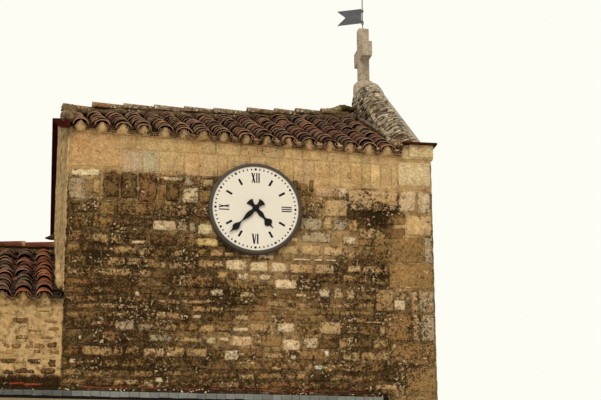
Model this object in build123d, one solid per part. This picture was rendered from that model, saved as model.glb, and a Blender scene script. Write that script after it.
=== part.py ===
"""A small stone church: a raised clock bay with a gabled tile roof, and a lower nave beside it.

X runs to the right along the clock wall, Y runs back into the building and Z is up.
The origin is on the ground in the face of the clock wall, straight below the clock.
All sizes are millimetres.
"""

from build123d import *
from math import cos, radians, sin, tan
import os

os.makedirs("parts", exist_ok=True)

# Plan of the clock bay and the nave
bay_left = 1975.0
bay_right = 1945.0
building_depth = 4600.0
nave_length = 6200.0
wall_thickness = 450.0
gable_thickness = 325.0

# Clock bay roof: heights of its underside at the eaves and at the ridge
eaves_overhang = 100.0
bay_eaves_left = 6775.0
bay_eaves_right = 6685.0
bay_ridge_left = 7650.0
bay_ridge_right = 7790.0
roof_thickness = 57.0
roof_strips = 4
nave_verge_overhang = 85.0
bay_verge_at_eaves = 100.0
bay_verge_at_ridge = 157.0
verge_drop = 15.0
verge_plate = 30.0
verge_kerb = 62.0
verge_top = 85.0

# Ribs on the roofs, one for every second row of cover tiles
rib_base = 150.0
rib_crown = 84.0
rib_rise = 36.0
rib_gap_at_ridge = 15.0
bay_rib_start = 111.0
bay_rib_spacing = 444.0
nave_rib_start = 185.0
nave_rib_spacing = 425.0

# Nave roof: level heights of its underside
nave_eaves = 4915.0
nave_ridge = 5925.0

# Ridge tiles
ridge_tile_radius = 120.0
ridge_tile_sides = 32
ridge_tile_lift = 23.0
ridge_gap_at_gable = 120.0

# Eaves course under the tiles
course_left = 36.0
course_right = 92.0
course_projection = 18.0

# Gable parapet, its coping and its kneelers
coping_foot_y = 240.0
coping_foot_z = 6805.0
coping_nose_y = 90.0
gable_pitch = 33.9
coping_thickness = 122.0
coping_side = 30.0
coping_inner_round = 170.0
coping_outer_round = 95.0
coping_inner_bulge = 24.0
coping_outer_bulge = 9.0
kneeler_left = 1700.0
kneeler_right = 1968.0
kneeler_projection = 30.0
kneeler_depth = 430.0
kneeler_height = 155.0
kneeler_hollow = 22.0
kneeler_tile_thickness = 22.0
kneeler_tile_overhang = 38.0

# Cross on the gable
saddle_inner = 155.0
saddle_outer = 85.0
saddle_depth = 300.0
saddle_weathering = 55.0
saddle_rise = 9.5
cross_x = 1715.0
cross_shaft = 130.0
cross_height = 690.0
cross_arm_span = 510.0
cross_arm_height = 190.0
cross_arm_thickness = 124.0
cross_arm_drop = 240.0
cross_chamfer = 6.0

# Weather vane
vane_rod_radius = 7.0
vane_rod_height = 590.0
vane_tip_height = 60.0
vane_rod_seat = 60.0
vane_collar_radius = 17.0
vane_collar_height = 14.0
vane_height = 197.0
vane_length = 321.0
vane_notch = 110.0
vane_thickness = 4.0
vane_lift = 95.0
vane_inset = 12.0
vane_bearing = 153.7
knuckle_radius = 15.0
knuckle_height = 26.0
knuckle_offset = 22.0
running_gap = 0.3

# Clock, hung below the eaves line at the gable
clock_below_eaves = 704.0
bezel_radius = 498.0
bezel_lip_radius = 460.0
case_wall = 14.0
case_back = 4.0
case_depth = 80.0
bezel_round = 18.0
lip_thickness = 12.0
lip_chamfer = 4.0
dial_thickness = 5.0
hand_gap = 6.0
hand_thickness = 4.0
hub_radius = 36.0
arbor_radius = 7.0
arbor_end_gap = 8.0
pipe_wall = 4.0
case_bore_gap = 2.0
cap_radius = 20.0
cap_height = 6.0
minute_length = 400.0
hour_length = 284.0
hand_tail = 107.0
tail_half_angle = 24.0
minute_angle = 225.0
hour_angle = 138.5
motion_plate_radius = 120.0
motion_plate_thickness = 6.0
motion_boss_wall = 14.0
motion_boss_gap = 6.0

# Outline of the hands: half widths, and how far along the hand each one lies
hand_waist = 19.0
hand_waist_at = 42.0
hand_point = 10.0
minute_swell = 27.0
minute_swell_at = 105.0
minute_neck = 10.0
minute_neck_at = 235.0
minute_blade = 34.0
minute_blade_at = 288.0
minute_point_at = 342.0
hour_swell = 26.0
hour_swell_at = 90.0
hour_neck = 13.0
hour_neck_at = 148.0
hour_blade = 43.0
hour_blade_at = 192.0
hour_point_at = 240.0

# Ledge with its capping, low on the clock side
ledge_top = 4043.0
ledge_right = 1400.0
ledge_projection = 95.0
ledge_drop = 62.0
ledge_face = 58.0
ledge_foot = 60.0
capping_thickness = 8.0
capping_apron = 46.0

# Doorway in the gable end
door_width = 1100.0
door_spring = 1750.0
door_rebate = 45.0
door_recess = 215.0
door_thickness = 55.0
door_gap = 4.0
threshold_height = 100.0
surround_width = 230.0
surround_projection = 20.0
strap_height = 60.0
strap_thickness = 6.0
strap_inset = 90.0
strap_end_gap = 9.0
strap_above_threshold = 350.0
strap_below_spring = 150.0

# Windows in the nave
window_width = 450.0
window_sill = 2300.0
window_spring = 3250.0
glass_thickness = 8.0
window_surround_width = 150.0

# Arch from the clock bay to the nave, and the floor
arch_width = 2400.0
arch_spring = 2000.0
floor_thickness = 60.0

# How far a cutter runs past what it cuts
cut_margin = 50.0

# Places that follow from the sizes above
ridge_y = building_depth / 2
nave_end = -bay_left - nave_length
gable_inner = bay_right - gable_thickness
wall_inner = bay_right - wall_thickness
back_inner = building_depth - wall_thickness
half_span = ridge_y + eaves_overhang
bay_top = max(bay_ridge_left, bay_ridge_right)
clock_height = bay_eaves_right - clock_below_eaves
window_x = (nave_end - bay_left) / 2
gable_slope = tan(radians(gable_pitch))
coping_bed_apex = coping_foot_z + (ridge_y - coping_foot_y) * gable_slope
coping_rise = coping_thickness / cos(radians(gable_pitch))
kneeler_top = coping_foot_z - kneeler_tile_thickness
kneeler_seat = kneeler_top - kneeler_height
kneeler_back = kneeler_depth - kneeler_projection
dial_front = -case_depth + lip_thickness
hour_back = dial_front - hand_gap
minute_back = hour_back - hand_thickness - hand_gap
arbor_end = -case_back - arbor_end_gap


def polygon_yz(x, points):
    """A flat face across the building at one x, from (y, z) corners."""
    return Face(Wire.make_polygon([Vector(x, y, z) for y, z in points]))


def polygon_xz(y, points):
    """A flat face along the building at one y, from (x, z) corners."""
    return Face(Wire.make_polygon([Vector(x, y, z) for x, z in points]))


def slab_x(x0, x1, points):
    return extrude(polygon_yz(x0, points), amount=x1 - x0, dir=(1, 0, 0))


def slab_y(y0, y1, points):
    return extrude(polygon_xz(y0, points), amount=y1 - y0, dir=(0, 1, 0))


def block(x0, x1, y0, y1, z0, z1):
    return Pos((x0 + x1) / 2, (y0 + y1) / 2, (z0 + z1) / 2) * Box(x1 - x0, y1 - y0, z1 - z0)


def mirror_back(shape):
    """The same piece on the back slope, mirrored in the ridge's plane."""
    return mirror(shape, about=Plane(origin=(0, ridge_y, 0), z_dir=(0, 1, 0)))


def save(name, shape):
    shape.label = name
    export_step(shape, f"parts/{name}.step")


class Slope:
    """The front slope of a roof: its underside rises from the eaves to the ridge.

    Both lines may run out of level, so the surface is worked out in flat facets between
    stations along the ridge, and everything that meets the roof is cut with the same facets.
    """

    def __init__(self, x_left, x_right, eaves, ridge):
        self.x_left = x_left
        self.x_right = x_right
        self.eaves = eaves
        self.ridge = ridge

    def height(self, x, y):
        along = (x - self.x_left) / (self.x_right - self.x_left)
        low = self.eaves[0] + along * (self.eaves[1] - self.eaves[0])
        high = self.ridge[0] + along * (self.ridge[1] - self.ridge[0])
        return low + (high - low) * (y + eaves_overhang) / half_span

    def stations(self, x0, x1):
        step = (self.x_right - self.x_left) / roof_strips
        inner = [self.x_left + i * step for i in range(-1, roof_strips + 2)]
        return [x0] + [x for x in inner if x0 + 1 < x < x1 - 1] + [x1]

    def layer(self, x0, x1, low, high):
        """A closed solid between two levels above the underside, from eaves to ridge."""
        faces = []
        xs = self.stations(x0, x1)
        y0, y1 = -eaves_overhang, ridge_y

        def corner(x, y, level):
            return Vector(x, y, self.height(x, y) + level)

        def face(*corners):
            faces.append(Face(Wire.make_polygon(corners)))

        for a, b in zip(xs, xs[1:]):
            for level in (low, high):
                face(corner(a, y0, level), corner(b, y0, level), corner(b, y1, level))
                face(corner(a, y0, level), corner(b, y1, level), corner(a, y1, level))
            for y in (y0, y1):
                face(corner(a, y, low), corner(b, y, low), corner(b, y, high), corner(a, y, high))
        for x in (x0, x1):
            face(corner(x, y0, low), corner(x, y1, low), corner(x, y1, high), corner(x, y0, high))
        return Solid(Shell(faces))


def over_roof(slope, x0, x1):
    """Everything above the underside of both slopes, to cut walls with."""
    front = slope.layer(x0, x1, 0, bay_top)
    return [front, mirror_back(front)]


def under_tiles(slope, x0, x1):
    """Everything below the top of both slopes, to seat the ridge on."""
    front = slope.layer(x0, x1, -2 * ridge_tile_radius, roof_thickness)
    return [front, mirror_back(front)]


def rib_places(first, last, start, spacing):
    """The middles of the ribs from one end of a roof to the other."""
    way = 1 if last > first else -1
    room = abs(last - first) - start - rib_base / 2
    return [first + way * (start + i * spacing) for i in range(int(room / spacing) + 1)]


def ribbed_roof(slope, x0, x1, places):
    """The front slope's slab with a rib for every second row of cover tiles.

    Each rib follows the slope at its own place along the ridge and stops short of the ridge tiles.
    """
    roof = slope.layer(x0, x1, 0, roof_thickness)
    y0, y1 = -eaves_overhang, ridge_y - ridge_tile_radius - rib_gap_at_ridge
    for x in places:
        foot = slope.height(x, y0)
        low, high = foot + roof_thickness / 2, foot + roof_thickness + rib_rise
        section = polygon_xz(y0, [(x - rib_base / 2, low), (x + rib_base / 2, low),
                                  (x + rib_crown / 2, high), (x - rib_crown / 2, high)])
        run = Vector(0, y1 - y0, slope.height(x, y1) - foot)
        roof = roof + extrude(section, amount=run.length, dir=run)
    return roof


bay = Slope(-bay_left, gable_inner, (bay_eaves_left, bay_eaves_right), (bay_ridge_left, bay_ridge_right))
nave = Slope(nave_end, -bay_left, (nave_eaves, nave_eaves), (nave_ridge, nave_ridge))


def bay_long_wall(y0, y1):
    """Front or back wall of the clock bay. Right of the roof it stops under the kneeler."""
    left = block(-bay_left, gable_inner, y0, y1, 0, bay_top)
    for cutter in over_roof(bay, -bay_left - cut_margin, gable_inner + cut_margin):
        left = left - cutter
    return left + block(gable_inner, bay_right, y0, y1, 0, kneeler_seat)


def arched_prism(x0, x1, y_mid, width, z0, spring):
    """A round-headed opening through a wall that runs across the building."""
    body = block(x0, x1, y_mid - width / 2, y_mid + width / 2, z0, spring)
    head = Pos((x0 + x1) / 2, y_mid, spring) * Rot(0, 90, 0) * Cylinder(width / 2, x1 - x0)
    return body + head


def arched_prism_y(y0, y1, x_mid, width, z0, spring):
    """A round-headed opening through a wall that runs along the building."""
    body = block(x_mid - width / 2, x_mid + width / 2, y0, y1, z0, spring)
    head = Pos(x_mid, (y0 + y1) / 2, spring) * Rot(90, 0, 0) * Cylinder(width / 2, y1 - y0)
    return body + head


def bay_left_wall():
    """The gable wall between the clock bay and the nave, with a round arch through it."""
    wall = block(-bay_left, -bay_left + wall_thickness, wall_thickness, back_inner, 0, bay_top)
    for cutter in over_roof(bay, -bay_left - cut_margin, gable_inner):
        wall = wall - cutter
    return wall - arched_prism(-bay_left - cut_margin, -bay_left + wall_thickness + cut_margin, ridge_y,
                               arch_width, -cut_margin, arch_spring)


def gable_wall():
    """The entrance end: its upper part stands above the roof as a parapet."""
    shoulder_z = coping_foot_z + (kneeler_back - coping_foot_y) * gable_slope
    lower = block(wall_inner, bay_right, wall_thickness, back_inner, 0, kneeler_seat)
    shoulder = block(wall_inner, gable_inner, wall_thickness, back_inner, kneeler_seat, bay_top)
    for cutter in over_roof(bay, -bay_left, gable_inner + cut_margin):
        shoulder = shoulder - cutter
    parapet = slab_x(gable_inner, bay_right, [
        (kneeler_back, kneeler_seat), (kneeler_back, shoulder_z), (ridge_y, coping_bed_apex),
        (building_depth - kneeler_back, shoulder_z), (building_depth - kneeler_back, kneeler_seat)])
    wall = lower + shoulder + parapet
    outer = arched_prism(bay_right - door_recess, bay_right + cut_margin, ridge_y, door_width, -cut_margin,
                         door_spring)
    inner = arched_prism(wall_inner - cut_margin, bay_right - door_recess, ridge_y,
                         door_width + 2 * door_rebate, -cut_margin, door_spring)
    return wall - outer - inner


def kneeler():
    """The block at the foot of the parapet, with a hollow moulding under its nose."""
    body = block(kneeler_left, kneeler_right, -kneeler_projection, kneeler_back, kneeler_seat, kneeler_top)
    inner = block(gable_inner, kneeler_left, 0, kneeler_back, kneeler_seat, kneeler_top)
    hollow = Cylinder(kneeler_hollow, kneeler_right - kneeler_left + cut_margin)
    hollow = Pos((kneeler_left + kneeler_right) / 2, -kneeler_projection, kneeler_seat) * Rot(0, 90, 0) * hollow
    return body + inner - hollow


def kneeler_tile():
    """A thin tile bedded on the kneeler, wider than it, with the coping's foot on top."""
    return block(gable_inner, kneeler_right + kneeler_tile_overhang, -kneeler_projection - kneeler_tile_overhang,
                 kneeler_back, kneeler_top, coping_foot_z)


def coping_foot_block():
    """The wedge of masonry between the kneeler's tile and the raking coping."""
    shoulder_z = coping_foot_z + (kneeler_back - coping_foot_y) * gable_slope
    return slab_x(gable_inner, bay_right, [
        (coping_foot_y, coping_foot_z), (kneeler_back, coping_foot_z), (kneeler_back, shoulder_z)])


def raking_coping(y0, y1):
    """The rounded coping of the front rake between two plumb cuts.

    Its section is upright at both sides, swells to a flat crown and is drawn along the rake.
    It is cut level where it lies on the kneeler's tile.
    """
    rake = Vector(0, cos(radians(gable_pitch)), sin(radians(gable_pitch)))
    x0, x1 = gable_inner, bay_right
    start = -2 * coping_foot_y
    end = (ridge_y - coping_foot_y) / rake.Y + coping_thickness
    across = Plane(origin=Vector(0, coping_foot_y, coping_foot_z) + rake * start, x_dir=(1, 0, 0), z_dir=-rake)
    crown_left, crown_right = x0 + coping_inner_round, x1 - coping_outer_round
    half_way = (coping_side + coping_thickness) / 2
    inner = ThreePointArc((x0, coping_side), ((x0 + crown_left) / 2, half_way + coping_inner_bulge),
                          (crown_left, coping_thickness))
    outer = ThreePointArc((crown_right, coping_thickness), ((x1 + crown_right) / 2, half_way + coping_outer_bulge),
                          (x1, coping_side))
    sides = Polyline((x1, coping_side), (x1, 0), (x0, 0), (x0, coping_side))
    crown = Line((crown_left, coping_thickness), (crown_right, coping_thickness))
    section = across * make_face([inner, crown, outer, sides])
    coping = extrude(section, amount=end - start, dir=rake)
    keep = block(x0 - cut_margin, x1 + cut_margin, y0, y1, coping_foot_z, coping_bed_apex + 2 * coping_rise)
    return coping & keep


def saddle_stone():
    """The apex stone: both copings meet in it, and it rises to a flat seat for the cross."""
    half = saddle_depth / 2
    top = coping_bed_apex + coping_rise + saddle_rise
    x0, x1 = cross_x - saddle_inner, cross_x + saddle_outer
    seat = block(x0, x1, ridge_y - half, ridge_y + half, coping_bed_apex - half * gable_slope, top)
    reach = half + cut_margin
    shoulder = coping_bed_apex - reach * gable_slope
    seat = seat - slab_x(x0 - cut_margin, x1 + cut_margin, [
        (ridge_y - reach, shoulder), (ridge_y, coping_bed_apex), (ridge_y + reach, shoulder),
        (ridge_y + reach, shoulder - cut_margin), (ridge_y - reach, shoulder - cut_margin)])
    upper = seat.faces().sort_by(Axis.Z)[-1].edges().sort_by(Axis.X)
    seat = chamfer(upper[:-1], saddle_weathering)
    front = raking_coping(ridge_y - half, ridge_y)
    return seat + front + mirror_back(front), top


def gable_cross(base):
    """A plain Latin cross of stone: its arms run along the gable, front to back."""
    shaft = Pos(cross_x, ridge_y, base + cross_height / 2) * Box(cross_shaft, cross_shaft, cross_height)
    arm_mid = base + cross_height - cross_arm_drop - cross_arm_height / 2
    arms = Pos(cross_x, ridge_y, arm_mid) * Box(cross_arm_thickness, cross_arm_span, cross_arm_height)
    upright = [e for e in shaft.edges() if abs(e.length - cross_height) < 1]
    shaft = chamfer(upright, cross_chamfer)
    along = [e for e in arms.edges() if abs(e.length - cross_arm_span) < 1]
    arms = chamfer(along, cross_chamfer)
    cross = shaft + arms
    top = cross.faces().sort_by(Axis.Z)[-1]
    cross = chamfer(top.edges(), cross_chamfer)
    seat = Pos(cross_x, ridge_y, base + cross_height - vane_rod_seat / 2) * Cylinder(vane_rod_radius, vane_rod_seat)
    return cross - seat


def vane_rod(top):
    """The rod stands in the cross, carries the vane on a collar and ends in a point."""
    foot = top - vane_rod_seat
    shoulder = top + vane_rod_height
    collar_top = top + vane_lift
    bar = Cylinder(vane_rod_radius, shoulder - foot)
    bar = Pos(cross_x, ridge_y, (foot + shoulder) / 2) * bar
    collar = Cylinder(vane_collar_radius, vane_collar_height)
    collar = Pos(cross_x, ridge_y, collar_top - vane_collar_height / 2) * collar
    point = Cone(vane_rod_radius, 1, vane_tip_height)
    point = Pos(cross_x, ridge_y, shoulder + vane_tip_height / 2) * point
    return bar + collar + point


def weather_vane(top):
    """A swallow-tailed plate on two knuckles that turn on the rod."""
    z0 = top + vane_lift + running_gap
    z1 = z0 + vane_height
    outer = vane_inset + vane_length
    plate = Face(Wire.make_polygon([
        Vector(vane_inset, 0, z0), Vector(outer, 0, z0), Vector(outer - vane_notch, 0, (z0 + z1) / 2),
        Vector(outer, 0, z1), Vector(vane_inset, 0, z1)]))
    plate = Pos(0, -vane_thickness / 2, 0) * extrude(plate, amount=vane_thickness, dir=(0, 1, 0))
    lower = z0 + knuckle_height / 2
    upper = z1 - knuckle_offset - knuckle_height / 2
    reach = vane_inset + knuckle_radius
    vane = plate
    for z in (lower, upper):
        vane = vane + Pos(0, 0, z) * Cylinder(knuckle_radius, knuckle_height)
        vane = vane + Pos(reach / 2, 0, z) * Box(reach, vane_thickness, knuckle_height)
    bore = Pos(0, 0, (z0 + z1) / 2) * Cylinder(vane_rod_radius + running_gap, vane_height + cut_margin)
    vane = vane - bore
    return Pos(cross_x, ridge_y, 0) * Rot(0, 0, vane_bearing) * vane


def ridge_capping(slope, x0, x1):
    """Half-round capping along the ridge, seated on both slopes."""
    z0 = slope.height(x0, ridge_y) + roof_thickness + ridge_tile_lift
    z1 = slope.height(x1, ridge_y) + roof_thickness + ridge_tile_lift
    section = RegularPolygon(ridge_tile_radius, ridge_tile_sides)
    section = Plane(origin=(x0, ridge_y, z0), x_dir=(0, 1, 0), z_dir=(1, 0, 0)) * section
    run = Vector(x1 - x0, 0, z1 - z0)
    bar = extrude(section, amount=run.length, dir=run)
    for piece in under_tiles(slope, x0 - cut_margin, x1 + cut_margin):
        bar = bar - piece
    return max(bar.solids(), key=lambda s: s.volume)


def tapered_layer(slope, wall, at_eaves, at_ridge, low, high):
    """A closed solid outside a wall between two levels, whose outer edge may run out from eaves to ridge."""
    plan = [(wall, -eaves_overhang), (wall - at_eaves, -eaves_overhang), (wall - at_ridge, ridge_y), (wall, ridge_y)]

    def face(*corners):
        return Face(Wire.make_polygon([
            Vector(plan[i % 4][0], plan[i % 4][1], slope.height(*plan[i % 4]) + level) for i, level in corners]))

    faces = [face((0, level), (i, level), (i + 1, level)) for level in (low, high) for i in (1, 2)]
    faces += [face((i, low), (i + 1, low), (i + 1, high), (i, high)) for i in range(4)]
    return Solid(Shell(faces))


def verge_course(slope, wall, at_eaves, at_ridge):
    """The open edge of a roof: flat tiles that reach past the wall, and the mortar kerb bedded on them."""
    plate_top = verge_plate - verge_drop
    plate = tapered_layer(slope, wall, at_eaves, at_ridge, -verge_drop, plate_top)
    kerb = tapered_layer(slope, wall, verge_kerb, verge_kerb, plate_top - verge_plate / 2, verge_top)
    front = plate + kerb
    return front + mirror_back(front)


def eaves_course(slope, x0, x1):
    """A thin course under the eaves tiles, a little proud of the wall and deeper towards the right."""
    left = slope.height(x0, 0)
    right = slope.height(x1, 0)
    band = slab_y(-course_projection, 0, [
        (x0, left - course_left), (x1, right - course_right), (x1, right + course_right), (x0, left + course_left)])
    for cutter in over_roof(slope, x0 - cut_margin, x1 + cut_margin):
        band = band - cutter
    return band


def revolve_y(profile, x, z):
    """A turned piece from (radius, y) corners, about the clock's axis."""
    face = Face(Wire.make_polygon([Vector(x + r, y, z) for r, y in profile]))
    return revolve(face, axis=Axis((x, 0, z), (0, 1, 0)), revolution_arc=360)


def clock_case():
    """A shallow round case on the wall: back, side and a rounded bezel with a lip."""
    inner = bezel_radius - case_wall
    bore = arbor_radius + pipe_wall + case_bore_gap
    return revolve_y([
        (bore, 0), (bezel_radius, 0), (bezel_radius, -case_depth + bezel_round),
        (bezel_radius - bezel_round * 0.3, -case_depth + bezel_round * 0.3), (bezel_radius - bezel_round, -case_depth),
        (bezel_lip_radius + lip_chamfer, -case_depth), (bezel_lip_radius, -case_depth + lip_chamfer),
        (bezel_lip_radius, dial_front), (inner, dial_front), (inner, -case_back), (bore, -case_back)],
        0, clock_height)


def clock_dial():
    """The dial sits behind the bezel's lip, with a hole for the hands' pipe."""
    hole = arbor_radius + running_gap + pipe_wall + running_gap
    rim = bezel_radius - case_wall
    return revolve_y([(hole, dial_front), (rim, dial_front), (rim, dial_front + dial_thickness),
                      (hole, dial_front + dial_thickness)], 0, clock_height)


def motion_plate():
    """The plate behind the dial that carries the arbors, on the back of the case."""
    pipe = arbor_radius + running_gap + pipe_wall + running_gap
    boss = pipe + motion_boss_wall
    plate_front = -case_back - motion_plate_thickness
    boss_front = dial_front + dial_thickness + motion_boss_gap
    return revolve_y([(pipe, -case_back), (motion_plate_radius, -case_back), (motion_plate_radius, plate_front),
                      (boss, plate_front), (boss, boss_front), (pipe, boss_front)], 0, clock_height)


def hand_outline(length, swell, swell_at, neck, neck_at, blade, blade_at, point_at):
    """Half the outline of a hand, from its fishtail to its point, mirrored to a face.

    The hand points up from the clock's axis: first figure of a point is across, second along.
    """
    corner_x = hand_tail * sin(radians(tail_half_angle))
    corner_z = -hand_tail * cos(radians(tail_half_angle))
    side = Spline([(corner_x, corner_z), (hand_waist, -hand_waist_at), (hand_waist, hand_waist_at),
                   (swell, swell_at), (neck, neck_at), (blade, blade_at), (hand_point, point_at)])
    point = Line((hand_point, point_at), (1, length))
    tip = Line((1, length), (-1, length))
    tail = ThreePointArc((-corner_x, corner_z), (0, -hand_tail), (corner_x, corner_z))
    return make_face([side, point, tip, mirror(point, about=Plane.YZ), mirror(side, about=Plane.YZ), tail])


def clock_hand(outline, y_back, angle, bore):
    """A flat hand with a round hub, cut from plate and turned to its time."""
    shape = outline + Circle(hub_radius)
    if bore:
        shape = shape - Circle(bore)
    plate = extrude(shape, amount=hand_thickness)
    face = Plane(origin=(0, y_back, clock_height), x_dir=(1, 0, 0), z_dir=(0, -1, 0))
    return face * Rot(0, 0, -angle) * plate


def turned(radius, y0, y1):
    """A round bar on the clock's axis."""
    return Pos(0, (y0 + y1) / 2, clock_height) * Rot(90, 0, 0) * Cylinder(radius, abs(y1 - y0))


def hour_hand():
    """The hour hand with its pipe, which turns in the dial's hole."""
    outline = hand_outline(hour_length, hour_swell, hour_swell_at, hour_neck, hour_neck_at,
                           hour_blade, hour_blade_at, hour_point_at)
    bore = arbor_radius + running_gap
    hand = clock_hand(outline, hour_back, hour_angle, bore)
    pipe = turned(bore + pipe_wall, hour_back, arbor_end) - turned(bore, hour_back - 1, arbor_end + 1)
    return hand + pipe


def minute_hand():
    """The minute hand with its arbor, which turns in the hour hand's pipe."""
    outline = hand_outline(minute_length, minute_swell, minute_swell_at, minute_neck, minute_neck_at,
                           minute_blade, minute_blade_at, minute_point_at)
    hand = clock_hand(outline, minute_back, minute_angle, 0)
    front = minute_back - hand_thickness
    cap = turned(cap_radius, front, front - cap_height)
    arbor = turned(arbor_radius, minute_back, arbor_end)
    return hand + cap + arbor


def ledge():
    """A stone ledge: a sloping top, a face and a splayed foot."""
    face_top = ledge_top - ledge_drop
    return slab_x(nave_end, ledge_right, [
        (0, ledge_top), (-ledge_projection, face_top), (-ledge_projection, face_top - ledge_face),
        (0, face_top - ledge_face - ledge_foot)])


def ledge_capping():
    """A thin slate capping on the ledge, turned down over its face."""
    face_top = ledge_top - ledge_drop
    y_face = -ledge_projection
    t = capping_thickness
    lift = t * 1.2
    return slab_x(nave_end, ledge_right, [
        (0, ledge_top), (y_face, face_top), (y_face, face_top - capping_apron), (y_face - t, face_top - capping_apron),
        (y_face - t, face_top + lift * 0.5), (0, ledge_top + lift)])


def nave_long_wall(y0, y1):
    """Front or back wall of the nave, with one narrow round-headed window."""
    wall = block(nave_end, -bay_left, y0, y1, 0, nave_ridge)
    for cutter in over_roof(nave, nave_end - cut_margin, -bay_left + cut_margin):
        wall = wall - cutter
    return wall - arched_prism_y(y0 - cut_margin, y1 + cut_margin, window_x, window_width, window_sill,
                                 window_spring)


def nave_end_wall():
    """The far gable of the nave, plain."""
    wall = block(nave_end, nave_end + wall_thickness, wall_thickness, back_inner, 0, nave_ridge)
    for cutter in over_roof(nave, nave_end - cut_margin, -bay_left):
        wall = wall - cutter
    return wall


def window_glass():
    """One pane in each long wall, in the middle of its thickness."""
    size = window_width - 2 * running_gap
    panes = []
    for y_mid in (wall_thickness / 2, building_depth - wall_thickness / 2):
        panes.append(arched_prism_y(y_mid - glass_thickness / 2, y_mid + glass_thickness / 2, window_x, size,
                                    window_sill + running_gap, window_spring))
    return Compound(panes)


def window_surround():
    """A flat band of dressed stone round the front window, under and over it."""
    outer = arched_prism_y(-surround_projection, 0, window_x, window_width + 2 * window_surround_width,
                           window_sill - window_surround_width, window_spring)
    inner = arched_prism_y(-surround_projection - 1, 1, window_x, window_width, window_sill, window_spring)
    return outer - inner


def door_surround():
    """Jamb stones and arch stones round the doorway, a little proud of the wall."""
    outer = arched_prism(bay_right, bay_right + surround_projection, ridge_y, door_width + 2 * surround_width,
                         0, door_spring)
    inner = arched_prism(bay_right - 1, bay_right + surround_projection + 1, ridge_y, door_width, -1, door_spring)
    return outer - inner


def door_leaf():
    """A plank door that closes against the rebate, from inside."""
    x1 = bay_right - door_recess
    width = door_width + 2 * door_rebate - 2 * door_gap
    return arched_prism(x1 - door_thickness, x1, ridge_y, width, threshold_height + door_gap, door_spring)


def door_straps():
    """Two iron straps across the outside of the door."""
    x0 = bay_right - door_recess
    y0 = ridge_y - door_width / 2 + strap_end_gap
    y1 = ridge_y + door_width / 2 - strap_inset
    straps = []
    for z in (threshold_height + strap_above_threshold, door_spring - strap_below_spring):
        straps.append(block(x0, x0 + strap_thickness, y0, y1, z, z + strap_height))
    return Compound(straps)


def threshold():
    """The stone sill under the door."""
    x0 = bay_right - door_recess
    outer = block(x0, bay_right, ridge_y - door_width / 2, ridge_y + door_width / 2, 0, threshold_height)
    half = door_width / 2 + door_rebate
    inner = block(wall_inner, x0, ridge_y - half, ridge_y + half, 0, threshold_height)
    return outer + inner


def floor():
    """Stone floor inside both rooms and through the arch."""
    rooms = block(nave_end + wall_thickness, -bay_left, wall_thickness, back_inner, 0, floor_thickness)
    arch = block(-bay_left, -bay_left + wall_thickness, ridge_y - arch_width / 2, ridge_y + arch_width / 2,
                 0, floor_thickness)
    tower = block(-bay_left + wall_thickness, wall_inner, wall_thickness, back_inner, 0, floor_thickness)
    return rooms + arch + tower


# Walls
save("clock_wall", bay_long_wall(0, wall_thickness))
save("bay_back_wall", bay_long_wall(back_inner, building_depth))
save("bay_side_wall", bay_left_wall())
save("gable_wall", gable_wall())
save("nave_front_wall", nave_long_wall(0, wall_thickness))
save("nave_back_wall", nave_long_wall(back_inner, building_depth))
save("nave_end_wall", nave_end_wall())

# Roofs
bay_ribs = rib_places(-bay_left, gable_inner, bay_rib_start, bay_rib_spacing)
bay_front = ribbed_roof(bay, -bay_left, gable_inner, bay_ribs)
save("bay_roof_front", bay_front)
save("bay_roof_back", mirror_back(bay_front))
save("bay_verge", verge_course(bay, -bay_left, bay_verge_at_eaves, bay_verge_at_ridge))
save("bay_ridge_tiles", ridge_capping(bay, -bay_left, gable_inner - ridge_gap_at_gable))
nave_ribs = rib_places(-bay_left, nave_end, nave_rib_start, nave_rib_spacing)
nave_front = ribbed_roof(nave, nave_end, -bay_left, nave_ribs)
save("nave_roof_front", nave_front)
save("nave_roof_back", mirror_back(nave_front))
save("nave_verge", verge_course(nave, nave_end, nave_verge_overhang, nave_verge_overhang))
save("nave_ridge_tiles", ridge_capping(nave, nave_end, -bay_left))
bay_course = eaves_course(bay, -bay_left, gable_inner)
save("bay_eaves_course_front", bay_course)
save("bay_eaves_course_back", mirror_back(bay_course))

# Gable parapet
front_kneeler = kneeler()
front_tile = kneeler_tile()
front_foot = coping_foot_block()
front_coping = raking_coping(coping_nose_y, ridge_y - saddle_depth / 2)
back_coping = mirror_back(front_coping)
save("kneeler_front", front_kneeler)
save("kneeler_back", mirror_back(front_kneeler))
save("kneeler_tile_front", front_tile)
save("kneeler_tile_back", mirror_back(front_tile))
save("coping_foot_front", front_foot)
save("coping_foot_back", mirror_back(front_foot))
save("coping_front", front_coping)
save("coping_back", back_coping)
stone, stone_top = saddle_stone()
save("saddle_stone", stone)
save("gable_cross", gable_cross(stone_top))
save("vane_rod", vane_rod(stone_top + cross_height))
save("weather_vane", weather_vane(stone_top + cross_height))

# Clock
save("clock_case", clock_case())
save("clock_dial", clock_dial())
save("clock_motion_plate", motion_plate())
save("hour_hand", hour_hand())
save("minute_hand", minute_hand())

# Ledge on the clock side
save("ledge", ledge())
save("ledge_capping", ledge_capping())

# Openings and floor
save("nave_window_glass", window_glass())
save("nave_window_surround_front", window_surround())
save("nave_window_surround_back", mirror_back(window_surround()))
save("door_surround", door_surround())
save("door_leaf", door_leaf())
save("door_straps", door_straps())
save("door_threshold", threshold())
save("floor", floor())
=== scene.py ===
# %% [markdown]
# # A small stone church
#
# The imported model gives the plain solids: walls, roof slabs, a clock case with its dial and hands, a gable
# with its coping and cross, and a weather vane. This lesson dresses them. Every tile and stone is worked
# out with numpy and joined in large meshes, and every finish is a short recipe of shader nodes.

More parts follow.
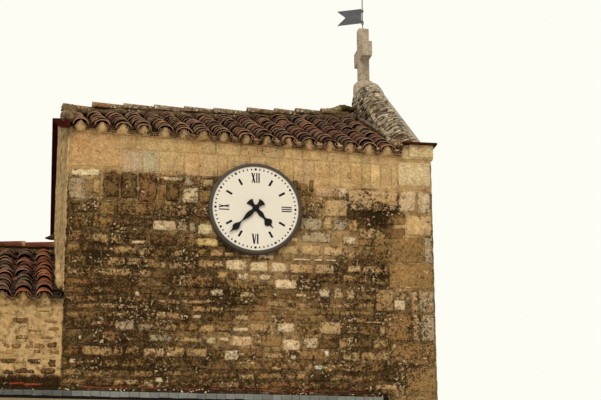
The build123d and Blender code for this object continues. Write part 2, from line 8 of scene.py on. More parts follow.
# %% Load the frame
import math
import bpy
import numpy as np
from mathutils import Matrix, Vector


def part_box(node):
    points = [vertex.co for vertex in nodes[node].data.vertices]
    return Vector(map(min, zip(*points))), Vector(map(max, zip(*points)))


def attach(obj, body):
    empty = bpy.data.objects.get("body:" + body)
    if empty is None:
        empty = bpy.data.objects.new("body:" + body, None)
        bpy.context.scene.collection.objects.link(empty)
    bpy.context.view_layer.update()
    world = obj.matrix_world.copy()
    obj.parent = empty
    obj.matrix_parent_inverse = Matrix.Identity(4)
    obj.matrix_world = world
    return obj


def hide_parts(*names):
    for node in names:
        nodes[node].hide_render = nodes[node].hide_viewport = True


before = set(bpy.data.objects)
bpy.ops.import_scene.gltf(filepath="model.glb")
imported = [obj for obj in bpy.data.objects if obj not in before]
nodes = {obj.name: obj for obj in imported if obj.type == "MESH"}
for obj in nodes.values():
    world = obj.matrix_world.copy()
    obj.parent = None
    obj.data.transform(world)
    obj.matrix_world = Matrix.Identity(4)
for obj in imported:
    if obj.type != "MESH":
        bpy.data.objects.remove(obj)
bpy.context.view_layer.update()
BAY_LEFT, BAY_RIGHT, NAVE_LEFT = -1.975, 1.945, -8.175
PARAPET_IN = 1.62
DEPTH, RIDGE_Y = 4.6, 2.3

# %% [markdown]
# ## Camera
#
# The camera stands on the ground sixteen metres in front of the clock wall and looks up. Its place was worked
# out from the sixty marks of the dial and the corners of the wall. A camera looks along its own -Z, so its
# matrix is made from the directions right, up and backwards.

# %% Camera
CAMERA_PLACE = (-2.35, -16.12, 1.55)
yaw, pitch, roll = (math.radians(a) for a in (10.01, 15.57, -0.33))
forward = np.array([math.sin(yaw) * math.cos(pitch), math.cos(yaw) * math.cos(pitch), math.sin(pitch)])
level = np.array([math.cos(yaw), -math.sin(yaw), 0.0])
upright = np.cross(level, forward)
right = math.cos(roll) * level + math.sin(roll) * upright
upward = math.cos(roll) * upright - math.sin(roll) * level
lens = bpy.data.cameras.new("view_from_the_street")
lens.lens = 95.06
lens.sensor_width = 36.0
lens.clip_end = 500.0
camera = bpy.data.objects.new("view_from_the_street", lens)
bpy.context.scene.collection.objects.link(camera)
columns = [list(right) + [0.0], list(upward) + [0.0], list(-forward) + [0.0], list(CAMERA_PLACE) + [1.0]]
camera.matrix_world = Matrix(columns).transposed()
bpy.context.scene.camera = camera
bpy.context.scene.view_settings.view_transform = "Standard"

# %% [markdown]
# ## Light and floor
#
# The day is overcast, so the sky is the lamp: a plain pale world with one wide soft sun from the upper left.
# What the camera sees behind the church is a separate pale colour, chosen with the Light Path node, so the
# background can be white without more light on the stones.

# %% World and sun
def paint(red, green, blue):
    """Three 8-bit screen numbers as the linear colour that shaders use: v to the power 2.4, with its foot."""
    screen = np.array([red, green, blue]) / 255.0
    linear = np.where(screen <= 0.04045, screen / 12.92, ((screen + 0.055) / 1.055) ** 2.4)
    return [float(v) for v in linear] + [1.0]


sky = bpy.data.worlds.new("overcast")
sky.use_nodes = True
bpy.context.scene.world = sky
tree = sky.node_tree
tree.nodes.clear()
choice = tree.nodes.new("ShaderNodeMixShader")
for place, colour, strength in ((1, (1.0, 0.985, 0.95, 1.0), 0.62), (2, paint(254, 253, 244), 1.0)):
    light = tree.nodes.new("ShaderNodeBackground")
    light.inputs["Color"].default_value = colour
    light.inputs["Strength"].default_value = strength
    tree.links.new(light.outputs[0], choice.inputs[place])
path = tree.nodes.new("ShaderNodeLightPath")
seen = path.outputs["Is Camera Ray"]
for ray in ("Is Glossy Ray", "Is Transmission Ray"):
    either = tree.nodes.new("ShaderNodeMath")
    either.operation = "MAXIMUM"
    tree.links.new(seen, either.inputs[0])
    tree.links.new(path.outputs[ray], either.inputs[1])
    seen = either.outputs[0]
tree.links.new(seen, choice.inputs[0])
tree.links.new(choice.outputs[0], tree.nodes.new("ShaderNodeOutputWorld").inputs[0])

sun = bpy.data.lights.new("soft_sun", "SUN")
sun.energy = 1.5
sun.angle = math.radians(35)
sun.color = (1.0, 0.97, 0.92)
sun_holder = bpy.data.objects.new("soft_sun", sun)
bpy.context.scene.collection.objects.link(sun_holder)
sun_holder.rotation_euler = (math.radians(48), 0.0, math.radians(-28))

# %% [markdown]
# ## A small language for finishes
#
# A finish is a tree of nodes. Writing each node and link by hand hides the recipe, so one class wraps a socket
# and turns + - * into Math nodes, and another makes any other node from its type, its settings and the values
# or links of its sockets.

# %% Flow and Finish
class Flow:
    """One number or colour that runs through a finish. Arithmetic on it adds a Math node."""

    def __init__(self, finish, socket):
        self.finish = finish
        self.socket = socket

    def worked(self, operation, a, b):
        return self.finish.add("Math", {"operation": operation}, {0: a, 1: b})

    def __add__(self, other):
        return self.worked("ADD", self, other)

    def __mul__(self, other):
        return self.worked("MULTIPLY", self, other)

    def __sub__(self, other):
        return self.worked("SUBTRACT", self, other)

    def __rsub__(self, other):
        return self.worked("SUBTRACT", other, self)

    __radd__ = __add__
    __rmul__ = __mul__


class Finish:
    """A material and the nodes that make it."""

    def __init__(self, name):
        self.material = bpy.data.materials.new(name)
        self.material.use_nodes = True
        self.tree = self.material.node_tree
        self.tree.nodes.clear()
        self.place = self.add("TexCoord", out="Object")

    def add(self, kind, settings=None, inputs=None, out=0):
        """A node of a type, with its settings set first and then the values or links of its sockets."""
        node = self.tree.nodes.new("ShaderNode" + kind)
        for key, value in (settings or {}).items():
            setattr(node, key, value)
        for key, value in (inputs or {}).items():
            if isinstance(value, Flow):
                self.tree.links.new(value.socket, node.inputs[key])
            else:
                node.inputs[key].default_value = value
        return Flow(self, node.outputs[out])

    def noise(self, scale, detail=4.0, rough=0.6, at=None):
        """Cloudy numbers about 0.5, scale clouds to a metre."""
        return self.add("TexNoise", {}, {"Vector": at or self.place, "Scale": scale, "Detail": detail,
                                         "Roughness": rough})

    def cells(self, scale, feature="F1"):
        """Distance to the nearest of scattered points, scale points to a metre, or to the line between them."""
        return self.add("TexVoronoi", {"feature": feature}, {"Vector": self.place, "Scale": scale}, out="Distance")

    def ease(self, value, low, high, start=0.0, end=1.0):
        """A smooth step from start to end while value goes from low to high."""
        return self.add("MapRange", {"interpolation_type": "SMOOTHSTEP"},
                        {"Value": value, "From Min": low, "From Max": high, "To Min": start, "To Max": end})

    def stretch(self, x, y, z):
        """Object coordinates with each axis multiplied, for a pattern longer one way than another."""
        return self.add("VectorMath", {"operation": "MULTIPLY"}, {0: self.place, 1: (x, y, z)})

    def axes(self):
        """The three object coordinates as numbers."""
        return [self.add("SeparateXYZ", {}, {0: self.place}, out=which) for which in range(3)]

    def told(self, name, out="Fac"):
        """A number, or with out="Color" a colour, that the mesh carries for each vertex."""
        return self.add("Attribute", {"attribute_name": name}, out=out)

    def blend(self, mask, under, over):
        """Two colours mixed by a mask from 0 to 1."""
        return self.add("Mix", {"data_type": "RGBA"}, {0: mask, 6: under, 7: over}, out=2)

    def shade(self, colour, amount):
        """A colour made lighter or darker by a number about 1."""
        plain = colour if isinstance(colour, Flow) else colour[:3]
        return self.add("VectorMath", {"operation": "SCALE"}, {0: plain, "Scale": amount})

    def done(self, colour, rough, height=None, relief=0.004, metal=0.0, coat=0.0, sheen=0.1):
        """The finished surface: colour, roughness, and relief in metres from a height number. sheen is how much
        of the sky a surface mirrors; crusty stone and clay mirror next to nothing."""
        inputs = {"Base Color": colour, "Roughness": rough, "Metallic": metal, "Coat Weight": coat,
                  "Specular IOR Level": sheen}
        if height is not None:
            inputs["Normal"] = self.add("Bump", {}, {"Height": height, "Distance": relief})
        body = self.add("BsdfPrincipled", {}, inputs)
        end = self.tree.nodes.new("ShaderNodeOutputMaterial")
        self.tree.links.new(body.socket, end.inputs["Surface"])
        return self.material


def washed(name, clouds, under, over, rough, relief=0.004, spots=None, grit=None, **more):
    """A plain finish: clouds (scale, detail, roughness) mix two paints and give the relief. spots (scale, low,
    high, share, paint) lay a third paint over. grit (its noise, its share, the clouds' share) is finer relief."""
    f = Finish(name)
    wash = f.noise(*clouds)
    colour = f.blend(wash, paint(*under), paint(*over))
    if spots:
        scale, low, high, share, tint = spots
        colour = f.blend(f.ease(f.noise(scale, 4.0, 0.7), low, high) * share, colour, paint(*tint))
    height = f.noise(*grit[0]) * grit[1] + wash * grit[2] if grit else wash
    return f.done(colour, rough, height, relief, **more)


# %% Floor
FLOOR_REACH = 60.0
floor_finish = Finish("pale_floor")
floor_colour = floor_finish.blend(floor_finish.noise(0.6, 3.0), paint(214, 211, 204), paint(222, 219, 212))
floor_mesh = bpy.data.meshes.new("ground")
floor_mesh.from_pydata([(x * FLOOR_REACH, y * FLOOR_REACH, 0) for x, y in ((-1, -1), (1, -1), (1, 1), (-1, 1))],
                       [], [(0, 1, 2, 3)])
floor_mesh.materials.append(floor_finish.done(floor_colour, 0.9))
ground = bpy.data.objects.new("ground", floor_mesh)
bpy.context.scene.collection.objects.link(ground)

# %% [markdown]
# ## Weather on the walls
#
# Black lichen and soot lie over the whole clock wall, thinnest under the eaves and on the right corner. The
# darkness is one field in the wall's own metres: a few ramps and soft spots, each a stretched distance from a
# point. Stones and mortar read the same field, so a stain runs across both.

# %% The field of soot
# Centre x and z, half width and half height in metres, and how much darker (or, below zero, cleaner).
SOOT_SPOTS = [
    (-1.12, 6.08, 0.42, 0.26, -0.22), (1.36, 6.00, 0.30, 0.19, 0.55), (0.72, 6.05, 0.30, 0.24, -0.28),
    (-1.72, 6.10, 0.28, 0.30, -0.30), (0.05, 5.32, 0.50, 0.22, -0.30), (0.80, 5.68, 0.60, 0.26, -0.28),
    (-0.75, 5.75, 0.42, 0.14, -0.10), (-1.55, 4.95, 0.55, 0.75, 0.08), (-0.10, 4.68, 0.70, 0.40, -0.22),
    (0.50, 4.90, 0.60, 0.45, -0.15), (0.60, 4.45, 0.60, 0.30, -0.12), (1.30, 6.33, 0.14, 0.12, 0.10),
    (1.75, 4.70, 0.20, 0.70, 0.22), (-1.20, 4.25, 0.50, 0.14, 0.12), (0.15, 6.74, 0.95, 0.20, 0.22),
    (0.80, 6.28, 0.40, 0.10, -0.50), (-1.50, 6.46, 0.30, 0.16, -0.15), (1.62, 5.82, 0.20, 0.22, -0.50),
    (1.62, 5.30, 0.35, 0.30, -0.18), (1.52, 6.28, 0.36, 0.07, -0.40), (1.36, 5.30, 0.14, 0.14, 0.30),
    (1.55, 4.25, 0.30, 0.20, 0.20), (0.55, 5.50, 0.45, 0.20, -0.25), (-0.42, 5.74, 0.16, 0.14, -0.25),
    (-0.35, 4.95, 0.36, 0.26, 0.20), (-1.35, 4.40, 0.45, 0.20, 0.16), (-1.58, 5.50, 0.32, 0.16, 0.16),
    (-1.25, 6.46, 0.30, 0.12, -0.20)]


def soot(finish):
    """How dirty the wall is, from 0 to 1: base, less under the eaves and at the right corner, plus spots."""
    x, y, z = finish.axes()
    drift = finish.noise(1.3, 3.0) - 0.5
    blotch = finish.noise(3.6, 4.0, 0.65) - 0.5
    field = finish.ease(z + drift * 0.3 + blotch * 0.8, 6.20, 6.42, 0.64, 0.06)
    field = field * finish.ease(x + drift * 0.3 + blotch * 0.9, 1.38, 1.66, 1.0, 0.60) + blotch * 0.9
    for spot_x, spot_z, wide, high, amount in SOOT_SPOTS:
        offset = finish.add("VectorMath", {"operation": "MULTIPLY_ADD"},
                            {0: finish.place, 1: (1 / wide, 0.0, 1 / high), 2: (-spot_x / wide, 0.0, -spot_z / high)})
        far = finish.add("VectorMath", {"operation": "LENGTH"}, {0: offset}, out="Value")
        field = field + finish.ease(far + drift * 0.5, 0.25, 1.15, amount, 0.0)
    in_front = finish.ease(y, 0.25, 0.30, 1.0, 0.0)
    on_bay = finish.ease(x, -1.99, -1.97)
    low_band = finish.ease(z + blotch * 0.16, 4.11, 4.19, 0.75, 0.0) * finish.ease(z, 3.80, 3.92) * in_front
    elsewhere = finish.ease(z, 0.0, 1.6, 0.42, 0.26) + drift * 0.35 + low_band
    chosen = in_front * on_bay
    return field * chosen + elsewhere * (1 - chosen)


def grainy(f, tone, dirt_and_shade, size=52.0):
    """Four shades of grain: black crust, brown, the stone's own tone and a pale skin. dirt_and_shade moves every step:
    dirt, and painted shade where a finish adds rim.
    """
    grains = f.noise(size, 2.0, 0.7)
    patches = f.noise(19.0, 3.0, 0.6)
    level = grains * 0.6 + patches * 0.40 + f.noise(5.0, 3.0, 0.6) * 0.18 - dirt_and_shade * 0.25 + 0.03
    colour = f.blend(f.ease(level, 0.37, 0.41), SOOT_AND_SHADE, f.shade(tone, 0.44))
    colour = f.blend(f.ease(level, 0.44, 0.50), colour, tone)
    colour = f.blend(f.ease(level, 0.60, 0.66), colour, f.shade(tone, 1.2))
    return f.shade(colour, level * 1.3 + 0.2), level


def flecks(f, size=34.0, often=0.60, where=0.50):
    """Scattered cream flecks, in swarms."""
    return f.ease(f.noise(size, 1.0, 0.5), often, often + 0.05) * f.ease(f.noise(3.6, 3.0, 0.6), where, where + 0.08)


def stone_finish(name, grain=1.0, pits=1.0, even=None, fleck=1.0, rust=0.4):
    """Limestone: its own tone in grains, rusty clouds, pits, and scattered pale lichen."""
    f = Finish(name)
    tone = f.told("tone", "Color") if even is None else even
    clean = f.told("clean") if even is None else 0.5
    dirt_and_shade = soot(f) * (1 - 0.55 * clean)
    # rim darkens each stone towards its outline: dirt, and painted shade in the joints.
    if even is None:
        dirt_and_shade = dirt_and_shade + f.told("rim") * (f.noise(9.0, 3.0) * 1.2 - 0.2)
    tone = f.blend(f.ease(f.noise(4.0, 3.0, 0.6), 0.48, 0.68, 0.0, rust), tone, paint(166, 116, 58))
    colour, level = grainy(f, tone, dirt_and_shade, 52.0 * grain)
    holes = f.ease(f.cells(38.0 * grain), 0.10, 0.22, 1.0, 0.0) * f.ease(f.noise(13.0, 3.0), 0.50, 0.58) * pits
    colour = f.blend(holes * 0.85, colour, paint(34, 23, 9))
    dots = flecks(f, 34.0 * grain) * fleck
    colour = f.blend(dots * 0.65, colour, paint(226, 200, 154))
    return f.done(colour, 0.95, level * 1.2 - holes * 0.8 + dots * 0.4, 0.010)


def mortar_finish(name, light, dark, mark=0.5, gap=0.0):
    """Lime mortar in the joints: gritty, pale where it is sheltered and brown where rain runs. gap blackens the
    joints in patches where the mortar has fallen out: soot, and painted shade in the open joints. rim, where a
    mesh carries it, adds painted shade."""
    f = Finish(name)
    dirt_and_shade = soot(f) + f.told("rim") * 0.45
    lumps = f.noise(15.0, 4.0, 0.6)
    tone = f.blend(f.ease(lumps + dirt_and_shade * 0.5, 0.55, 0.85), light, dark)
    tone = f.blend(f.ease(f.noise(3.1, 3.0), 0.44, 0.54, gap, 0.0) * dirt_and_shade, tone, SOOT_AND_SHADE)
    colour, level = grainy(f, tone, dirt_and_shade * 1.15, 60.0)
    colour = f.blend(flecks(f) * mark, colour, paint(222, 200, 156))
    return f.done(colour, 0.95, level + lumps * 0.8, 0.014)


# The black of soot crust, also laid in open mortar joints as painted shade.
SOOT_AND_SHADE = paint(62, 43, 17)
clock_wall_mortar = mortar_finish("weathered_mortar", paint(186, 150, 98), paint(132, 102, 62), 0.5, 0.6)
nave_mortar = mortar_finish("ochre_mortar", paint(210, 172, 116), paint(134, 100, 58))
wall_stone = stone_finish("weathered_limestone")
print("finishes for the walls:", clock_wall_mortar.name, nave_mortar.name, wall_stone.name)

# %% [markdown]
# ## Many copies in one mesh
#
# A wall has thousands of stones and a roof hundreds of tiles. One shape's faces are written once and its
# vertices are an array with a first axis for the copies, so the whole mesh is filled with foreach_set.

# %% Faces
def grid_faces(k, m):
    """Quads of a grid of k rows of m points."""
    return [(j * m + i, j * m + i + 1, (j + 1) * m + i + 1, (j + 1) * m + i)
            for j in range(k - 1) for i in range(m - 1)]


def grid_rim(k, m):
    """The points round a grid's outline, in order."""
    return (list(range(m)) + [j * m + m - 1 for j in range(1, k)]
            + [(k - 1) * m + i for i in range(m - 2, -1, -1)] + [j * m for j in range(k - 2, 0, -1)])


def slab_faces(k, m):
    """A grid, the same grid turned over k * m points further on, and the rim between them."""
    grid, rim, n = grid_faces(k, m), grid_rim(k, m), k * m
    return (grid + [tuple(n + p for p in reversed(q)) for q in grid]
            + [(b, a, n + a, n + b) for a, b in zip(rim, rim[1:] + rim[:1])])


def tube_faces(k, r, caps=True):
    """Quads between k rings of r points, and a polygon over each end."""
    quads = [(i * r + j, i * r + (j + 1) % r, (i + 1) * r + (j + 1) % r, (i + 1) * r + j)
             for i in range(k - 1) for j in range(r)]
    return quads + ([tuple(reversed(range(r))), tuple(range((k - 1) * r, k * r))] if caps else [])


# %% Joined copies
def shape_volume(points, polys):
    """The signed volume of one copy: a third of each fan triangle's box product, added up."""
    fans = [(poly[0], b, c) for poly in polys for b, c in zip(poly[1:-1], poly[2:])]
    return sum(float(np.dot(points[a], np.cross(points[b], points[c]))) for a, b, c in fans) / 6.0


def joined(name, copies, polys, finish, slot, smooth=True, **told):
    """One mesh from copies (n, v, 3) of a shape with v vertices. Faces are turned outwards by the volume's
    sign. told is what each copy or vertex says to the finish: tone is a colour, all else a number."""
    copies = np.asarray(copies, dtype=float)
    n, v = copies.shape[:2]
    if shape_volume(copies[0] - copies[0].mean(axis=0), polys) < 0:
        polys = [tuple(reversed(p)) for p in polys]
    corners = np.concatenate([np.array(p) for p in polys]) + v * np.arange(n)[:, None]
    sizes = np.tile([len(p) for p in polys], n)
    mesh = bpy.data.meshes.new(name)
    mesh.vertices.add(n * v)
    mesh.vertices.foreach_set("co", copies.ravel())
    mesh.loops.add(corners.size)
    mesh.loops.foreach_set("vertex_index", corners.ravel().astype(np.int32))
    mesh.polygons.add(len(sizes))
    mesh.polygons.foreach_set("loop_start", (np.cumsum(sizes) - sizes).astype(np.int32))
    mesh.polygons.foreach_set("use_smooth", np.full(len(sizes), smooth))
    mesh.update(calc_edges=True)
    for key, values in told.items():
        colour = key == "tone"
        values = np.asarray(values, dtype=float)
        if values.ndim == (2 if colour else 1):
            values = np.repeat(values[:, None], v, axis=1)
        if colour:
            values = np.concatenate([values, np.ones((n, v, 1))], axis=2)
        layer = mesh.attributes.new(key, "FLOAT_COLOR" if colour else "FLOAT", "POINT")
        layer.data.foreach_set("color" if colour else "value", values.ravel())
    mesh.materials.append(finish)
    obj = bpy.data.objects.new(name, mesh)
    bpy.context.scene.collection.objects.link(obj)
    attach(obj, "church")
    print(f"{name}: {n} copies, {int((sizes - 2).sum())} triangles")
    return obj


def tones_of(names, rng, spread=0.06):
    """Linear colours for a list of tone names, each copy a little lighter or darker."""
    base = np.array([paint(*TONES[t])[:3] for t in names])
    return base * (1 + rng.normal(0, spread, (len(names), 1))) * (1 + rng.normal(0, 0.02, (len(names), 3)))


TONES = {"pale": (222, 194, 148), "tan": (198, 163, 112), "yellow": (220, 184, 120), "grey": (184, 160, 122),
         "buff": (188, 150, 98), "brown": (156, 120, 72), "dark": (122, 92, 54), "red": (142, 104, 64),
         "white": (236, 220, 184), "slatey": (156, 140, 118), "lichen": (188, 170, 136), "cream": (208, 178, 136)}

# %% [markdown]
# ## Stones
#
# A stone's face is a small grid of points, drawn in at its corners and wavy at its outline. Three rings step
# from inside the wall to the worn edge and the face, and one flat back closes it. A wall's frame turns its
# own across, up and outward numbers into the church's metres.

# %% A wall full of stones
STONE_GRID = 7
STONE_ROOT = -0.005


def wall_frame(corner, outward):
    """A function from across, up and outward numbers to points. Across is up x outward, so faces look out."""
    corner, outward = np.array(corner, dtype=float), np.array(outward, dtype=float)
    upward, across = np.array((0.0, 0.0, 1.0)), np.cross((0.0, 0.0, 1.0), outward)

    def place(a, z, d):
        return corner + a[..., None] * across + z[..., None] * upward + d[..., None] * outward
    return place


def stones(name, place, cells, tones, seed, proud=0.010, edge=0.012, corners=0.35, wavy=0.03, clean=0.0,
           warp=None, finish=None, slot="weathered_wall", wear_and_painted_light=1.0):
    """Stones on a wall. cells is (n, 4): left, right, foot and top in the wall's own metres. Inner grid lines
    lie edge and a third of edge inside the outline; they stand from 5 mm inside the wall to proud."""
    rng = np.random.default_rng(seed)
    cells = np.asarray(cells, dtype=float)
    n, m = len(cells), STONE_GRID
    half = (cells[:, [1, 3]] - cells[:, [0, 2]]) / 2
    middle = (cells[:, [1, 3]] + cells[:, [0, 2]]) / 2
    wide, tall = half[:, 0, None, None], half[:, 1, None, None]
    levels = []
    for axis in range(2):
        one = np.clip(edge * 0.35 / half[:, axis], 0, 0.22)
        two = np.clip(edge / half[:, axis], 0, 0.5)
        levels.append(np.stack([-np.ones(n), -1 + one, -1 + two, 0 * one, 1 - two, 1 - one, np.ones(n)], axis=1))
    u = np.repeat(levels[0][:, None, :], m, axis=1)
    v = np.repeat(levels[1][:, :, None], m, axis=2)
    from_end = np.minimum(np.arange(m), m - 1 - np.arange(m))
    step = np.minimum(from_end[None, :], from_end[:, None])
    draw = (corners * rng.uniform(0.5, 1.5, n))[:, None, None]
    x = u * np.sqrt(np.clip(1 - draw * v ** 4 / 2, 0.1, 1))
    y = v * np.sqrt(np.clip(1 - draw * u ** 4 / 2, 0.1, 1))
    angle = np.arctan2(v * tall, u * wide)
    swell = np.zeros_like(x)
    for k in (2, 3, 5, 7):
        swell += (rng.normal(0, wavy / math.sqrt(k), n)[:, None, None]
                  * np.sin(k * angle + rng.uniform(0, 6.28, n)[:, None, None]))
    push = swell * np.minimum(wide, tall) * 2.2 * np.maximum(np.abs(u), np.abs(v))
    x = x * wide + push * np.cos(angle)
    y = y * tall + push * np.sin(angle)
    stand = proud * rng.uniform(0.65, 1.25, n)[:, None, None]
    lift = np.array([STONE_ROOT, 0.45, 0.92, 1.0])
    out = np.where(step == 0, STONE_ROOT, lift[step] * stand) * np.ones((n, 1, 1))
    out = out + np.where(step >= 2, rng.normal(0, 0.12, (n, m, m)) * stand, 0)
    across = middle[:, 0, None, None] + x
    height = middle[:, 1, None, None] + y + rng.normal(0, wavy / 3, n)[:, None, None] * x
    if warp is not None:
        across, height = warp(across, height)
    # Each stone is darker towards its outline: its tone falls to 0.8 on the edge ring and 0.6 at the root, and rim,
    # scaled by wear_and_painted_light, adds dirt there: dirt on the edges, painted shade in the joints.
    tone = tones_of(tones, rng, 0.05)[:, None, :] * np.array([0.6, 0.8, 1.0, 1.03])[step].reshape(1, m * m, 1)
    rim = wear_and_painted_light * rng.uniform(0.5, 1.3, (n, 1)) * np.array([1.0, 0.8, 0.35, 0.0])[step].reshape(1, m * m)
    faces = grid_faces(m, m) + [tuple(reversed(grid_rim(m, m)))]
    return joined(name, place(across, height, out).reshape(n, m * m, 3), faces, finish or wall_stone, slot,
                  tone=tone, clean=np.broadcast_to(clean, (n,)), rim=rim)


def free_runs(span, blocks):
    """What is left of a span (start, end) once blocked spans are cut out."""
    runs = [span]
    for low, high in blocks:
        runs = [piece for a, b in runs for piece in ((a, min(b, low)), (max(a, high), b)) if piece[1] - piece[0] > 0]
    return runs


def fill_courses(rows, span_of, taken, rng, length=0.3, joint=0.014, least=0.06, rough=0.012):
    """Cells of random length along each row, between the stones in taken. A stone that covers more than a
    third of a row's height blocks it there."""
    cells = []
    for foot, top in zip(rows[:-1], rows[1:]):
        span = span_of(foot, top)
        if span is None or span[1] - span[0] < least:
            continue
        blocks = [(c[0] - joint / 2, c[1] + joint / 2) for c in taken
                  if min(c[3], top) - max(c[2], foot) > 0.35 * (top - foot)]
        for start, end in free_runs(span, blocks):
            if end - start < least:
                continue
            count = max(1, int(round((end - start) / length)))
            cuts = np.cumsum(rng.uniform(0.45, 1.6, count))
            cuts = start + (end - start) * np.concatenate([[0.0], cuts]) / cuts[-1]
            for a, b in zip(cuts[:-1], cuts[1:]):
                if b - a > least:
                    lower, upper = rng.uniform(0, rough, 2)
                    cells.append((a + joint / 4, b - joint / 4, foot + joint / 2 + lower, top - joint / 2 - upper))
    return cells
